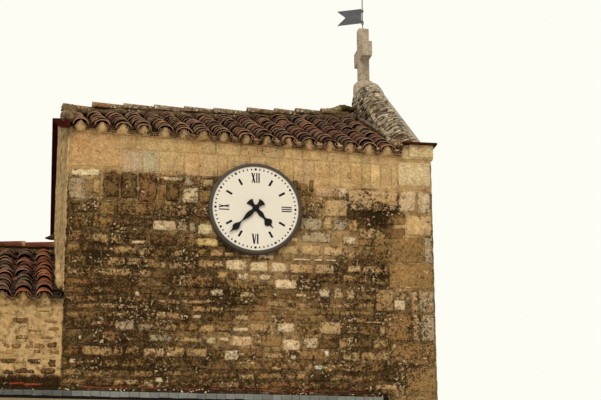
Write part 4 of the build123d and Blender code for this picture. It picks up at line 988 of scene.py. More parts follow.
# %% Ridges
def ridge_row(name, starts, ends, tops, radius, drop, seed, finish, weights, wide_first=True):
    """One tapered half tube from each start to just past its end: radius falls by 12% and the axis by drop."""
    rng = np.random.default_rng(seed)
    n = len(starts)
    t = np.radians(np.linspace(-88, 88, ARC + 1))
    thick = 0.016
    share = np.array([0.0, 0.09, 1.0]) if wide_first else np.array([0.0, 0.91, 1.0])
    grow = 1 - 0.12 * share if wide_first else 0.88 + 0.12 * share
    sink = drop * share if wide_first else drop * (1 - share)
    starts, ends, tops = (np.asarray(v, dtype=float) for v in (starts, ends, tops))
    x = starts[:, None] + (ends - starts)[:, None] * share[None, :]
    r = radius * grow[None, :] * rng.normal(1, 0.02, (n, 1))
    ring_y = np.concatenate([np.sin(t), np.sin(t[::-1])])
    ring_z = np.concatenate([np.cos(t), np.cos(t[::-1])])
    inside = np.concatenate([np.zeros(ARC + 1), np.full(ARC + 1, thick)])
    y = 2.3 + (r[..., None] - inside) * ring_y + rng.normal(0, 0.004, (n, 1, 1))
    crown = tops[:, None] - sink[None, :] + rng.normal(0, 0.003, (n, 1))
    z = crown[..., None] + (r[..., None] * 0.78 - inside) * ring_z - r[..., None] * 0.78
    points = np.stack([x[..., None] + 0 * y, y, z], axis=-1).reshape(n, -1, 3)
    # lip marks each tile's wide end, which the finish paints paler: wear, and a painted highlight.
    lip = np.zeros((n, 3, 2 * (ARC + 1)))
    lip[:, 0 if wide_first else 2, :] = 1.0
    lip[:, 1, :] = 0.5
    return joined(name, points, tile_faces(), finish, "roof_tile", tone=tile_tones(n, rng, weights),
                  lip=lip.reshape(n, -1))


def ridge_bedding(name, x0, x1, crown, half_width, seed, finish, slot="roof_tile"):
    """Lumpy mortar under a ridge: a closed band whose foot lies on the tiles and whose top is 25 mm under the
    ridge tiles' crown, with soft random lumps."""
    rng = np.random.default_rng(seed)
    xs = np.linspace(x0, x1, int((x1 - x0) / 0.035))
    soft = np.convolve(rng.normal(0, 1, len(xs) + 6), np.ones(3) / 3, "same")[3:-3]
    other = np.convolve(rng.normal(0, 1, len(xs) + 6), np.ones(3) / 3, "same")[3:-3]
    top = crown(xs)
    w1 = half_width + 0.012 * soft
    w2 = half_width + 0.012 * other
    lines = [(2.3 - w1, top - 0.155), (2.3 - w1 * 0.98, top - 0.105 + 0.010 * other), (2.3 - w1 * 0.62, top - 0.055),
             (2.3 + 0 * w1, top - 0.035), (2.3 + w2 * 0.62, top - 0.055), (2.3 + w2 * 0.98, top - 0.105 + 0.010 * soft),
             (2.3 + w2, top - 0.155)]
    points = np.stack([np.stack([xs, y, z], axis=1) for y, z in lines], axis=1).reshape(-1, 3)
    r = len(lines)
    faces = [(i * r + j, i * r + (j + 1) % r, (i + 1) * r + (j + 1) % r, (i + 1) * r + j)
             for i in range(len(xs) - 1) for j in range(r)]
    faces += [tuple(reversed(range(r))), tuple((len(xs) - 1) * r + j for j in range(r))]
    return joined(name, points[None], faces, finish, slot)


def ridge_finish(name):
    """Old ridge clay under a crust of lichen: grey-brown grains, cream flecks, a wide end painted paler for wear
    and as a painted highlight, and at the open end, orange.
    """
    f = Finish(name)
    tone = f.blend(0.6, f.told("tone", "Color"), paint(150, 124, 88))
    wear_and_painted_light = f.ease(f.told("lip"), 0.3, 0.9)
    colour, level = grainy(f, f.blend(wear_and_painted_light * 0.5, tone, paint(190, 166, 128)), 0.45 - wear_and_painted_light * 0.2, 60.0)
    orange = f.ease(f.noise(26.0, 3.0, 0.6), 0.50, 0.58) * f.ease(f.axes()[0], -1.5, -1.0, 0.8, 0.12)
    colour = f.blend(orange, colour, paint(186, 122, 44))
    cream = flecks(f, 44.0, 0.55, 0.40)
    colour = f.blend(cream * 0.85, colour, paint(228, 212, 176))
    return f.done(colour, 0.95, level + cream * 0.5, 0.014)


ridge_clay = ridge_finish("lichened_ridge_clay")
ridge_starts = [-1.972, -1.665, -1.285, -0.912, -0.544, -0.181, 0.234, 0.574, 0.839, 1.16]
ridge_ends = [-1.64, -1.25, -0.88, -0.51, -0.14, 0.27, 0.61, 0.88, 1.20, 1.50]
ridge_tops = [7.846, 7.883, 7.891, 7.889, 7.889, 7.887, 7.915, 7.926, 7.945, 7.955]
bay_ridge_row = ridge_row("bay_ridge_row", ridge_starts, ridge_ends, ridge_tops, 0.122, 0.026, 71, ridge_clay,
                          [1, 3, 3, 3, 4, 3, 1, 1])
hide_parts("bay_ridge_tiles")
bedding = mortar_finish("ridge_mortar", paint(112, 92, 64), paint(56, 42, 28), 0.9)
ridge_bedding("bay_ridge_mortar", -1.965, 1.60, lambda x: np.interp(x, [-1.97, -1.2, 0.0, 0.6, 1.3, 1.6],
                                                                    [7.84, 7.87, 7.875, 7.91, 7.94, 7.95]),
              0.118, 72, bedding)
nave_starts = [-8.172] + list(np.arange(-7.985, -2.1, 0.371))
nave_ends = [v + 0.03 for v in nave_starts[1:]] + [-1.975]
nave_ridge_row = ridge_row("nave_ridge_row", nave_starts, nave_ends, [6.125] * len(nave_starts), 0.120, 0.024, 73,
                           nave_clay, [1, 2, 4, 3, 3, 1, 1, 5], wide_first=False)
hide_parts("nave_ridge_tiles")
ridge_bedding("nave_ridge_mortar", NAVE_LEFT + 0.01, BAY_LEFT, lambda x: 6.105 + 0 * x, 0.100, 74, bedding)

# %% [markdown]
# Against the parapet the last stretch of the ridge is a mossy mound, and at the open end the verge is pointed
# with a rough roll of grey mortar. Both are soft lumps: a grid round a line, pushed out by smooth noise.

# %% Mound and verge
def lumpy_roll(name, line, radii, seed, finish, slot, around=14, rough=0.22):
    """A closed roll along a line of points (k, 3) with radii (k, 2) across and up, its surface pushed in and
    out by random numbers that are averaged with their neighbours."""
    rng = np.random.default_rng(seed)
    line = np.asarray(line, dtype=float)
    radii = np.asarray(radii, dtype=float)
    k = len(line)
    noise = rng.normal(0, 1, (k, around))
    noise = (noise + np.roll(noise, 1, 1) + np.roll(noise, -1, 1)) / 3
    noise = (noise + np.roll(noise, 1, 0) + np.roll(noise, -1, 0)) / 3
    push = 1 + rough * noise
    t = np.linspace(0, 2 * np.pi, around, endpoint=False)
    ahead = np.gradient(line, axis=0)
    ahead /= np.linalg.norm(ahead, axis=1)[:, None]
    guide = np.where(np.abs(ahead[:, 2:3]) > 0.9, [[0.0, 1.0, 0.0]], [[0.0, 0.0, 1.0]])
    up = guide - ahead * (ahead * guide).sum(axis=1, keepdims=True)
    up /= np.linalg.norm(up, axis=1)[:, None]
    across = np.cross(ahead, up)
    points = (line[:, None, :] + across[:, None, :] * (radii[:, 0:1] * np.cos(t) * push)[..., None]
              + up[:, None, :] * (radii[:, 1:2] * np.sin(t) * push)[..., None]).reshape(-1, 3)
    points = np.concatenate([points, line[:1], line[-1:]])
    faces = [(i * around + j, i * around + (j + 1) % around, (i + 1) * around + (j + 1) % around, (i + 1) * around + j)
             for i in range(k - 1) for j in range(around)]
    a, b = k * around, k * around + 1
    faces += [(a, (j + 1) % around, j) for j in range(around)]
    faces += [(b, (k - 1) * around + j, (k - 1) * around + (j + 1) % around) for j in range(around)]
    return joined(name, points[None], faces, finish, slot)


moss = Finish("mossy_mortar")
moss_x = moss.axes()[0]
moss_fine = moss.noise(60.0, 5.0, 0.75)
moss_colour = moss.blend(moss.ease(moss_x + (moss.noise(14.0) - 0.5) * 0.3, 1.34, 1.42), paint(196, 178, 120),
                         paint(104, 82, 32))
moss_colour = moss.blend(moss.ease(moss_fine, 0.42, 0.56), paint(60, 46, 18), moss_colour)
mossy = moss.done(moss_colour, 0.95, moss_fine, 0.02)
k = np.linspace(0, 1, 13)
lumpy_roll("ridge_mound", np.stack([1.235 + 0.345 * k, 2.3 + 0 * k, 7.925 + 0.035 * k], axis=1),
           np.stack([0.10 * np.sin(np.pi * np.clip(k, 0.10, 0.93)) ** 0.5 + 0.01,
                     0.050 * np.sin(np.pi * np.clip(k, 0.10, 0.93)) ** 0.5 + 0.008], axis=1), 75, mossy, "roof_tile",
           rough=0.5)

verge_mortar = mortar_finish("verge_mortar", paint(134, 108, 74), paint(42, 30, 18), 0.9)
ox = Finish("oxblood_tile")
ox_wash = ox.noise(7.0, 4.0, 0.6)
ox_grit = ox.noise(90.0, 4.0, 0.7)
ox_colour = ox.blend(ox_wash, paint(50, 20, 15), paint(78, 33, 24))
ox_colour = ox.blend(ox.ease(ox.noise(22.0, 4.0, 0.7), 0.60, 0.72) * 0.5, ox_colour, paint(110, 84, 66))
oxblood = ox.done(ox_colour, 0.8, ox_grit * 0.5 + ox_wash, 0.005, sheen=0.0)
# A curled tile at the ridge's end against the bay wall, in the dark board finish: its dark colour is painted shade.
lumpy_roll("ridge_end_tile_painted_shade", [(-2.165, 2.3, 6.165), (-2.12, 2.3, 6.168), (-2.08, 2.3, 6.175), (-2.04, 2.3, 6.185),
                              (-2.00, 2.3, 6.19)],
           np.array([(0.02, 0.006), (0.05, 0.022), (0.06, 0.033), (0.06, 0.040), (0.05, 0.042)]), 97, boards,
           "verge_tile", 10, 0.1)


def sheet(name, inner, Y, Z, out, finish, slot):
    """A closed skin on a wall that faces along x: a grid at out, its flat back at inner, and the rim between."""
    k, m = Z.shape
    points = np.concatenate([np.stack([out, Y, Z], axis=-1).reshape(-1, 3),
                             np.stack([0 * out + inner, Y, Z], axis=-1).reshape(-1, 3)])
    faces = [(j * m + i, j * m + i + 1, (j + 1) * m + i + 1, (j + 1) * m + i) for j in range(k - 1)
             for i in range(m - 1)]
    faces += [tuple(reversed([k * m + p for p in q])) for q in faces[:]]
    ring = (list(range(m)) + [j * m + m - 1 for j in range(1, k)] + [(k - 1) * m + i for i in range(m - 2, -1, -1)]
            + [j * m for j in range(k - 2, 0, -1)])
    faces += [(q, p, k * m + p, k * m + q) for p, q in zip(ring, ring[1:] + ring[:1])]
    return joined(name, points[None], faces, finish, slot)


side_plaster = mortar_finish("side_plaster", paint(222, 188, 130), paint(130, 98, 56), 0.3)
rng = np.random.default_rng(99)
for front_side, label, at_corner in ((True, "front", 0.010), (False, "back", 0.042)):
    Y, T = np.meshgrid(np.linspace(0.004, 2.296, 60), np.linspace(0, 1, 40))
    low = 4.915 + 1.01 * (Y + 0.1) / 2.4 + 0.07
    Z = low + (6.775 + 0.875 * (Y + 0.1) / 2.4 - 0.012 - low) * T
    streaks = np.repeat(rng.normal(0, 1, (1, 60)), 40, axis=0) * 0.6 + rng.normal(0, 1, (40, 60)) * 0.6
    streaks = (streaks + np.roll(streaks, 1, 0) + np.roll(streaks, 2, 0)) / 3
    out = -1.975 - at_corner - (0.080 - at_corner) * Y / 2.3 + 0.006 * np.clip(streaks, -1.5, 1.5)
    sheet("side_wall_plaster_" + label, -1.97, Y if front_side else DEPTH - Y, Z, out, side_plaster, "dressed_stone")
for sign, wall, label in ((1.0, 0.0, "front"), (-1.0, DEPTH, "back")):
    s = np.linspace(0.14, 2.30, 44)
    line = np.stack([-2.002 - 0.008 * np.sin(s * 4.1), wall + sign * s, 4.915 + 1.01 * (s + 0.1) / 2.4 + 0.110], axis=1)
    lumpy_roll("abutment_mortar_" + label, line, np.stack([0.036 + 0.020 * np.sin(s * 1.9), 0.060 + 0 * s], axis=1),
               98, side_plaster, "dressed_stone", 12, 0.35)

for label, y_low, seed in (("front", -0.085, 76), ("back", 4.685, 77)):
    sign = 1.0 if label == "front" else -1.0
    s = np.linspace(0.02, 2.37, 60)
    rng = np.random.default_rng(seed)
    swell = 0.75 + 0.45 * s / 2.4 + 0.25 * np.sin(s * 11.0) * np.sin(s * 5.3)
    line = np.stack([-1.996 + 0.032 * s, y_low + sign * s, bay_eaves(-2.0) + (7.65 - 6.775) * s / 2.4 + 0.095
                     + 0.012 * s], axis=1)
    lumpy_roll("bay_verge_mortar_" + label, line, np.stack([0.066 * swell, 0.060 * swell], axis=1), seed,
               verge_mortar, "verge_tile", 14, 0.7)
    line = np.stack([-8.190 + 0 * s, y_low + sign * s, 4.915 + 1.01 * s / 2.4 + 0.070], axis=1)
    lumpy_roll("nave_verge_mortar_" + label, line, np.stack([0.034 * swell, 0.042 * swell], axis=1), seed + 10,
               verge_mortar, "verge_tile", 12, 0.3)

# %% [markdown]
# ## The parapet
#
# The gable wall's inner face over the roof is a rough mortar skin. The rounded shoulder of the coping is laid
# with thin stones on edge, which run across the rake, and only its crown is smooth.

# %% Parapet skin and shoulder stones
def bed_line(y):
    """The height of the coping's bed y metres in from the street or the yard."""
    return 6.805 + (y - 0.24) * 0.672


rake = math.atan(0.672)


def shoulder(front_side):
    """Places a point y metres in, z metres round the shoulder from its foot, and d metres out of it."""
    def place(a, z, d):
        y = a if front_side else DEPTH - a
        t = z / 0.205
        bow = 0.096 * (1 - 2 * t)
        ahead_x, ahead_h = 0.17 - 0.476 * bow, 0.092 + 0.880 * bow
        size = np.sqrt(ahead_x ** 2 + ahead_h ** 2)
        x = 1.62 + 0.17 * t - 0.476 * 0.096 * t * (1 - t) - d * ahead_h / size
        h = 0.030 + 0.092 * t + 0.880 * 0.096 * t * (1 - t) + d * ahead_x / size
        x, h = np.where(t > 1, 1.79 + z - 0.205, x), np.where(t > 1, 0.122 + d, h)
        in_y = y - h * math.sin(rake)
        return np.stack([x, in_y if front_side else DEPTH - in_y, bed_line(y) + h * math.cos(rake)], axis=-1)
    return place


rng = np.random.default_rng(81)
parapet_finish = stone_finish("parapet_rubble_stone", 1.6, 0.8, None, 1.0, 0.0)
skin_mortar = stone_finish("parapet_mortar", 1.3, 1.3, paint(176, 160, 132), 1.2, 0.05)
for front_side, label in ((True, "front"), (False, "back")):
    edge_cells = []
    for foot, top in ((-0.040, 0.010), (0.004, 0.090), (0.085, 0.165), (0.160, 0.228)):
        y = 0.22
        while y < 2.26:
            wide = rng.uniform(0.013, 0.030)
            if foot < 0 or rng.random() < 0.45 + 0.12 * y + foot * 1.2:
                slip = rng.normal(0, 0.014)
                edge_cells.append((y, y + wide - 0.004, foot + max(slip, -0.008), top + slip))
            y += wide
    if not front_side:
        edge_cells = [(DEPTH - c[1], DEPTH - c[0], c[2], c[3]) for c in edge_cells]
    picked = rng.choice(["slatey", "lichen", "white", "dark"], len(edge_cells), p=[0.34, 0.34, 0.20, 0.12])
    stones("shoulder_stones_" + label, shoulder(front_side), edge_cells, list(picked), 82, proud=0.013, edge=0.006,
           corners=0.2, wavy=0.05, clean=rng.uniform(-0.4, 1.0, len(edge_cells)), finish=parapet_finish)
    y = np.linspace(0.56, 2.30, 50)
    t = np.linspace(0, 1, 9)
    Y, T = np.meshgrid(y, t)
    low = 6.76 + (7.875 - 6.79) * (Y + 0.1) / 2.4
    Z = low + np.maximum(bed_line(Y) + 0.03 - low, 0.01) * T
    rough = rng.normal(0, 1, Z.shape)
    rough = (rough + np.roll(rough, 1, 0) + np.roll(rough, 1, 1) + np.roll(rough, (1, 1), (0, 1))) / 2
    out = 1.612 - 0.005 * np.clip(rough, -1, 2)
    if not front_side:
        Y = DEPTH - Y
    sheet("parapet_skin_" + label, 1.64, Y, Z, out, skin_mortar, "weathered_wall")
    thin_rows = np.arange(7.20, 8.24, 0.046)
    thin = fill_courses(thin_rows, lambda a, b: (0.185 + (b - 6.805) / 0.672, min((a - 6.80) * 2.212 - 0.1, 2.29))
                        if min((a - 6.80) * 2.212 - 0.1, 2.29) - (b - 6.805) / 0.672 > 0.32 else None, [], rng,
                        length=0.11, joint=0.008, least=0.03)
    picked = rng.choice(["slatey", "lichen", "white", "dark"], len(thin), p=[0.36, 0.30, 0.20, 0.14])
    stones("parapet_courses_" + label, lambda a, z, d: np.stack([1.610 - d, a if front_side else DEPTH - a, z],
                                                                axis=-1),
           thin, list(picked), 85, proud=0.020, edge=0.008, corners=0.4, wavy=0.05,
           clean=rng.uniform(-0.6, 1.0, len(thin)), finish=parapet_finish)
    foot_y = 0.0 if front_side else DEPTH
    sign = 1.0 if front_side else -1.0
    s = np.linspace(0, 1, 9)
    lumpy_roll("parapet_foot_mortar_" + label, np.stack([1.585 + 0.03 * s, foot_y + sign * (-0.03 + 0.30 * s),
                                                         6.775 + 0.10 * s], axis=1),
               np.stack([0.055 + 0.02 * np.sin(9 * s), 0.045 + 0 * s], axis=1), 83, verge_mortar, "weathered_wall",
               12, 0.7)

coping = Finish("coping_limestone")
coping_colour, coping_level = grainy(coping, paint(186, 172, 146), 0.40, 50.0)
coping_bed, bed_level = grainy(coping, paint(130, 110, 84), 0.75, 60.0)
on_crown = coping.ease(coping.axes()[0], 1.765, 1.785)
coping_stone = coping.done(coping.blend(on_crown, coping_bed, coping_colour), 0.95, coping_level, 0.010)
lichen_stone = stone_finish("lichened_limestone", 1.2, 0.9, paint(184, 168, 142), 1.4, 0.05)
section = [(0.0, -0.12), (0.0, 0.030), (0.026, 0.072), (0.062, 0.100), (0.110, 0.116), (0.17, 0.122), (0.23, 0.122),
           (0.285, 0.100), (0.315, 0.060), (0.325, 0.030), (0.325, -0.12)]
apex = np.array([[(1.62 + x, y, bed_line(min(y, DEPTH - y)) + h / math.cos(rake)) for x, h in section]
                 for y in (2.14, 2.30, 2.46)]).reshape(-1, 3)
r = len(section)
faces = [(s * r + i, s * r + (i + 1) % r, (s + 1) * r + (i + 1) % r, (s + 1) * r + i) for s in range(2)
         for i in range(r)] + [tuple(reversed(range(r))), tuple(range(2 * r, 3 * r))]
saddle = joined("saddle_apex", apex[None], faces, coping_stone, "weathered_wall", smooth=False)
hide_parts("saddle_stone")
lumpy_roll("saddle_seat", [(1.725, 2.3, z) for z in (8.02, 8.10, 8.18, 8.25, 8.30, 8.332, 8.346)],
           np.array([(0.150, 0.125), (0.150, 0.128), (0.145, 0.128), (0.140, 0.122), (0.125, 0.108), (0.100, 0.085),
                     (0.075, 0.075)]), 84, lichen_stone, "weathered_wall", 16, 0.16)
dressed = stone_finish("dressed_limestone", 1.0, 0.5, paint(206, 184, 138))

# %% [markdown]
# ## The clock
#
# The case keeps its CAD shape. The dial's marks are thin enamel shapes that stand a fraction of a millimetre
# proud: sixty dots, of which every fifth is round and larger, eight bars, and numerals at the quarters.

# %% Dial marks
dial_front = dial_low[1]


def flat_marks(name, outlines, finish, slot):
    """Closed plates from outlines of equal point count (n, k, 2), from 1 mm inside the dial to 0.7 mm proud."""
    outlines = np.asarray(outlines, dtype=float)
    n, k = outlines.shape[:2]
    faces = [tuple(range(k)), tuple(reversed(range(k, 2 * k)))]
    faces += [(i, k + i, k + (i + 1) % k, (i + 1) % k) for i in range(k)]
    points = np.zeros((n, 2 * k, 3))
    points[:, :k, 0] = points[:, k:, 0] = outlines[..., 0] + clock_x
    points[:, :k, 2] = points[:, k:, 2] = outlines[..., 1] + clock_z
    points[:, :k, 1] = dial_front - 0.0007
    points[:, k:, 1] = dial_front + 0.001
    return joined(name, points, faces, finish, slot, smooth=False)


black = Finish("black_enamel")
black_wear = black.noise(40.0, 4.0, 0.6)
black_enamel = black.done(black.blend(black_wear, paint(10, 8, 7), paint(24, 20, 18)), 0.55, black_wear, 0.0008,
                          sheen=0.15)

minutes = np.radians(6.0 * np.arange(60))
outward_dir = np.stack([np.sin(minutes), np.cos(minutes)], axis=1)
sideways = np.stack([outward_dir[:, 1], -outward_dir[:, 0]], axis=1)
round_steps = np.linspace(0, 2 * np.pi, 12, endpoint=False)
small = np.array([i for i in range(60) if i % 5])
large = np.array([i for i in range(60) if i % 5 == 0])
dot_shape = np.stack([np.sign(np.cos(round_steps)) * np.abs(np.cos(round_steps)) ** 0.7 * 0.0072,
                      np.sign(np.sin(round_steps)) * np.abs(np.sin(round_steps)) ** 0.7 * 0.0105], axis=1)
hour_dot = np.stack([np.cos(round_steps), np.sin(round_steps)], axis=1) * 0.0135


def put(shape, which, radius):
    """A shape's own across and outward numbers, set on the dial at each mark's angle and radius."""
    return (outward_dir[which][:, None, :] * (radius + shape[None, :, 1:2])
            + sideways[which][:, None, :] * shape[None, :, 0:1])


flat_marks("minute_dots", put(dot_shape, small, 0.428), black_enamel, "clock_hands")
flat_marks("hour_dots", put(hour_dot, large, 0.428), black_enamel, "clock_hands")
bar = np.array([(-0.012, -0.036), (0.012, -0.036), (0.012, 0.036), (-0.012, 0.036)])
flat_marks("hour_bars", put(bar, np.array([5, 10, 20, 25, 35, 40, 50, 55]), 0.326), black_enamel, "clock_hands")


def stroke(x0, z0, x1, z1, wide):
    """A stroke of a numeral with level ends: both end points moved half a width left and right."""
    return [(x0 - wide / 2, z0), (x1 - wide / 2, z1), (x1 + wide / 2, z1), (x0 + wide / 2, z0)]


def turned(strokes, degrees):
    """Strokes drawn upright about the numeral's own centre and turned; the caller moves them out to the dial's ring."""
    strokes = np.array(strokes)
    a = math.radians(degrees)
    turn_ = np.array([[math.cos(a), -math.sin(a)], [math.sin(a), math.cos(a)]])
    return strokes @ turn_.T


high = 0.055
thin, thick = 0.0085, 0.0180
twelve = [stroke(-0.039, high, -0.010, -high, thick), stroke(-0.010, high, -0.039, -high, thin),
          stroke(0.012, high, 0.012, -high, 0.0130), stroke(0.036, high, 0.036, -high, 0.0140)]
twelve = np.array(twelve) + np.array([0.0, 0.334])
six = [stroke(-0.030, high, -0.013, -high, thick), stroke(0.004, high, -0.011, -high, thin),
       stroke(0.023, high, 0.023, -high, 0.0165)]
six = np.array(six) + np.array([0.0, -0.334])
three = turned([stroke(-0.023, high, -0.023, -high, 0.012), stroke(0.0, high, 0.0, -high, 0.012),
                stroke(0.023, high, 0.023, -high, 0.012)], -90) + np.array([0.333, 0.0])
nine = turned([stroke(-0.024, high, -0.024, -high, 0.012), stroke(0.001, high, 0.024, -high, 0.014),
               stroke(0.024, high, 0.001, -high, thin)], 90) + np.array([-0.336, 0.0])
flat_marks("numerals", np.concatenate([twelve, six, three, nine]), black_enamel, "clock_hands")

face = Finish("dial_enamel")
face_wash = face.noise(3.0, 4.0, 0.6)
face_grit = face.noise(160.0, 3.0, 0.6)
face_colour = face.blend(face_wash, paint(243, 234, 216), paint(234, 223, 200))
face_colour = face.blend(face.ease(face.noise(11.0, 4.0, 0.7), 0.62, 0.76) * 0.25, face_colour, paint(214, 196, 160))
dial_enamel = face.done(face_colour, 0.42, face_grit, 0.0004, coat=0.15, sheen=0.4)

rim = Finish("weathered_bezel")
rim_wash = rim.noise(9.0, 5.0, 0.65)
rim_grit = rim.noise(110.0, 4.0, 0.7)
rim_colour = rim.blend(rim_wash, paint(58, 50, 42), paint(90, 80, 68))
rim_colour = rim.blend(rim.ease(rim.noise(30.0, 4.0, 0.7), 0.60, 0.72) * 0.5, rim_colour, paint(42, 33, 25))
bezel = rim.done(rim_colour, 0.62, rim_grit * 0.4 + rim_wash, 0.002, sheen=0.3)

hand = Finish("black_hands")
hand_wear = hand.noise(60.0, 4.0, 0.6)
hand_paint = hand.done(hand.blend(hand_wear, paint(9, 8, 7), paint(20, 17, 15)), 0.5, hand_wear, 0.0008,
                       sheen=0.15)

# %% [markdown]
# ## The ledge
#
# A sloping ledge with small slates along its edge crosses the wall. Above it runs a fillet of red tile set in
# mortar. The slates are thin plates with uneven lower corners, lapped side by side, and under their foot the
# ledge's limewash carries a painted shadow.

# %% Slates and fillet
slate = Finish("weathered_slate")
slate_wash = slate.noise(8.0, 5.0, 0.65)
slate_tone = slate.told("tone", "Color")
slate_colour = slate.shade(slate_tone, 0.7 + slate_wash * 0.6)
slate_colour = slate.blend(slate.ease(slate.noise(24.0, 4.0, 0.7), 0.58, 0.70) * 0.5, slate_colour,
                           paint(176, 172, 150))
slate_finish = slate.done(slate_colour, 0.75, slate_wash, 0.006)

rng = np.random.default_rng(91)
cuts = np.arange(NAVE_LEFT + 0.005, 1.39, 0.097)
cuts = cuts + rng.uniform(-0.008, 0.008, 99)[:len(cuts)]
left, right_side = cuts[:-1] + 0.002, cuts[1:] - 0.002
n = len(left)
drop = rng.uniform(0.0, 0.008, (n, 2))
profile_out = np.array([(0.066, 4.010), (0.0990, 3.990), (0.1025, 3.984), (0.1028, 3.938)])
profile_in = np.array([(0.0955, 3.938), (0.0955, 3.974), (0.092, 3.981), (0.066, 3.999)])
profile = np.concatenate([profile_out, profile_in])
plates = np.zeros((n, 2, 8, 3))
plates[:, 0, :, 0] = left[:, None]
plates[:, 1, :, 0] = right_side[:, None]
plates[..., 1] = -profile[None, None, :, 0]
plates[..., 2] = profile[None, None, :, 1]
plates[:, :, 3, 2] += drop
plates[:, :, 4, 2] += drop
plates[..., 2] += rng.normal(0, 0.0012, (n, 1, 1))
plate_faces = [(i, 8 + i, 8 + (i + 1) % 8, (i + 1) % 8) for i in range(8)] + [tuple(reversed(range(8))),
                                                                            tuple(range(8, 16))]
slates = joined("ledge_slates", plates.reshape(n, 16, 3), plate_faces, slate_finish, "slate", smooth=False,
                tone=np.array([paint(130, 130, 122)[:3]]) * rng.uniform(0.75, 1.15, (n, 1))
                * np.where(left < -1.95, 0.48, 0.92)[:, None])
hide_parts("ledge_capping")
ledge_mortar = mortar_finish("ledge_mortar", paint(150, 118, 80), paint(78, 56, 34), 0.9)
x = np.arange(NAVE_LEFT + 0.01, 1.39, 0.04)
lumpy_roll("ledge_bed", np.stack([x, -0.042 + 0 * x, 4.006 + 0 * x], axis=1),
           np.stack([0.046 + 0 * x, 0.030 + 0 * x], axis=1), 94, ledge_mortar, "dressed_stone", 10, 0.12)
render = Finish("limewashed_ledge_painted_shadow")
render_wash = render.noise(9.0, 5.0, 0.65)
ledge_colour_and_shadow = render.blend(render_wash, paint(206, 190, 154), paint(164, 148, 116))
# Above z 3.915, just under the slates' foot, the ledge face is painted near black: a painted shadow of the slates.
ledge_colour_and_shadow = render.blend(render.ease(render.axes()[2], 3.912, 3.918), ledge_colour_and_shadow, paint(24, 20, 16))
ledge_wash_and_shadow = render.done(ledge_colour_and_shadow, 0.9, render_wash, 0.004)
fillet_line = np.stack([np.linspace(-1.80, 1.37, 90), -0.018 + 0 * np.linspace(0, 1, 90),
                        4.030 + 0.016 * np.clip(np.linspace(0, 1, 90) * 6, 0, 1)], axis=1)
red_fillet = Finish("red_tile_fillet")
red_wash = red_fillet.noise(12.0, 4.0, 0.65)
red_colour = red_fillet.blend(red_wash, paint(176, 66, 34), paint(120, 52, 34))
red_colour = red_fillet.blend(flecks(red_fillet, 60.0, 0.52, 0.3) * 0.7, red_colour, paint(120, 88, 54))
red_finish = red_fillet.done(red_colour, 0.85, red_wash, 0.005)
lumpy_roll("ledge_fillet_mortar", fillet_line + np.array([0, -0.012, -0.012]),
           np.tile([[0.026, 0.016]], (90, 1)), 92, ledge_mortar, "dressed_stone", 10, 0.6)
tiles_at = np.arange(-1.76, 1.34, 0.155)
rng = np.random.default_rng(93)
n = len(tiles_at)
fillet = np.zeros((n, 2, 4, 3))
fillet[:, 0, :, 0] = tiles_at[:, None]
fillet[:, 1, :, 0] = tiles_at[:, None] + 0.148 + rng.uniform(-0.01, 0.004, (n, 1))
fillet[..., 1] = [0.004, -0.036, -0.034, 0.004]
fillet[..., 2] = np.array([4.058, 4.046, 4.036, 4.046]) + rng.normal(0, 0.002, (n, 1, 1))
fillet_faces = [(i, 4 + i, 4 + (i + 1) % 4, (i + 1) % 4) for i in range(4)] + [(3, 2, 1, 0), (4, 5, 6, 7)]
joined("ledge_fillet_tiles", fillet.reshape(n, 8, 3), fillet_faces, red_finish, "roof_tile", smooth=False)
stones("fillet_fragments", nave_front, [(-2.49 - NAVE_LEFT, -2.345 - NAVE_LEFT, 4.056, 4.086),
                                        (-2.35 - NAVE_LEFT, -2.17 - NAVE_LEFT, 4.048, 4.078)], ["red", "red"], 95,
       proud=0.012, edge=0.010, corners=0.5, wavy=0.08, finish=red_finish, slot="roof_tile")

# %% [markdown]
# ## Window bars and door boards
#
# The nave windows have an iron grille in front of the glass, and the door is made of upright planks with
# studded straps. Neither is in the photograph, so both are plain, as on many village churches.

# %% Window bars
iron = Finish("wrought_iron")
iron_wash = iron.noise(30.0, 5.0, 0.7)
iron_colour = iron.blend(iron.ease(iron_wash, 0.50, 0.66), paint(44, 42, 42), paint(96, 60, 42))
iron_finish = iron.done(iron_colour, 0.6, iron_wash, 0.001, metal=0.3)


def rods(name, ends, radius, finish, slot, sides=10):
    """Round bars from one end to the other, (n, 2, 3), as closed tubes with their caps drawn in slightly."""
    ends = np.asarray(ends, dtype=float)
    n = len(ends)
    ahead = ends[:, 1] - ends[:, 0]
    ahead /= np.linalg.norm(ahead, axis=1)[:, None]
    guide = np.where(np.abs(ahead[:, 2:3]) < 0.9, [[0.0, 0.0, 1.0]], [[1.0, 0.0, 0.0]])
    a = np.cross(ahead, guide)
    a /= np.linalg.norm(a, axis=1)[:, None]
    b = np.cross(ahead, a)
    t = np.linspace(0, 2 * np.pi, sides, endpoint=False)
    ring = a[:, None, :] * np.cos(t)[None, :, None] + b[:, None, :] * np.sin(t)[None, :, None]
    rings = [ends[:, None, 0] + ring * radius * 0.8, ends[:, None, 0] + ahead[:, None] * radius * 0.3 + ring * radius,
             ends[:, None, 1] - ahead[:, None] * radius * 0.3 + ring * radius, ends[:, None, 1] + ring * radius * 0.8]
    points = np.concatenate(rings, axis=1)
    faces = [(s * sides + i, s * sides + (i + 1) % sides, (s + 1) * sides + (i + 1) % sides, (s + 1) * sides + i)
             for s in range(3) for i in range(sides)]
    faces += [tuple(reversed(range(sides))), tuple(range(3 * sides, 4 * sides))]
    return joined(name, points, faces, finish, slot)


window_x = -5.075
bars = []
for y in (0.12, 4.48):
    for dx in (-0.12, 0.0, 0.12):
        top = 3.25 + math.sqrt(0.225 ** 2 - dx ** 2)
        bars.append([(window_x + dx, y, 2.28), (window_x + dx, y, top + 0.02)])
    for z in (2.52, 2.82, 3.12):
        bars.append([(window_x - 0.245, y + 0.004, z), (window_x + 0.245, y + 0.004, z)])
rods("window_bars", bars, 0.009, iron_finish, "iron")

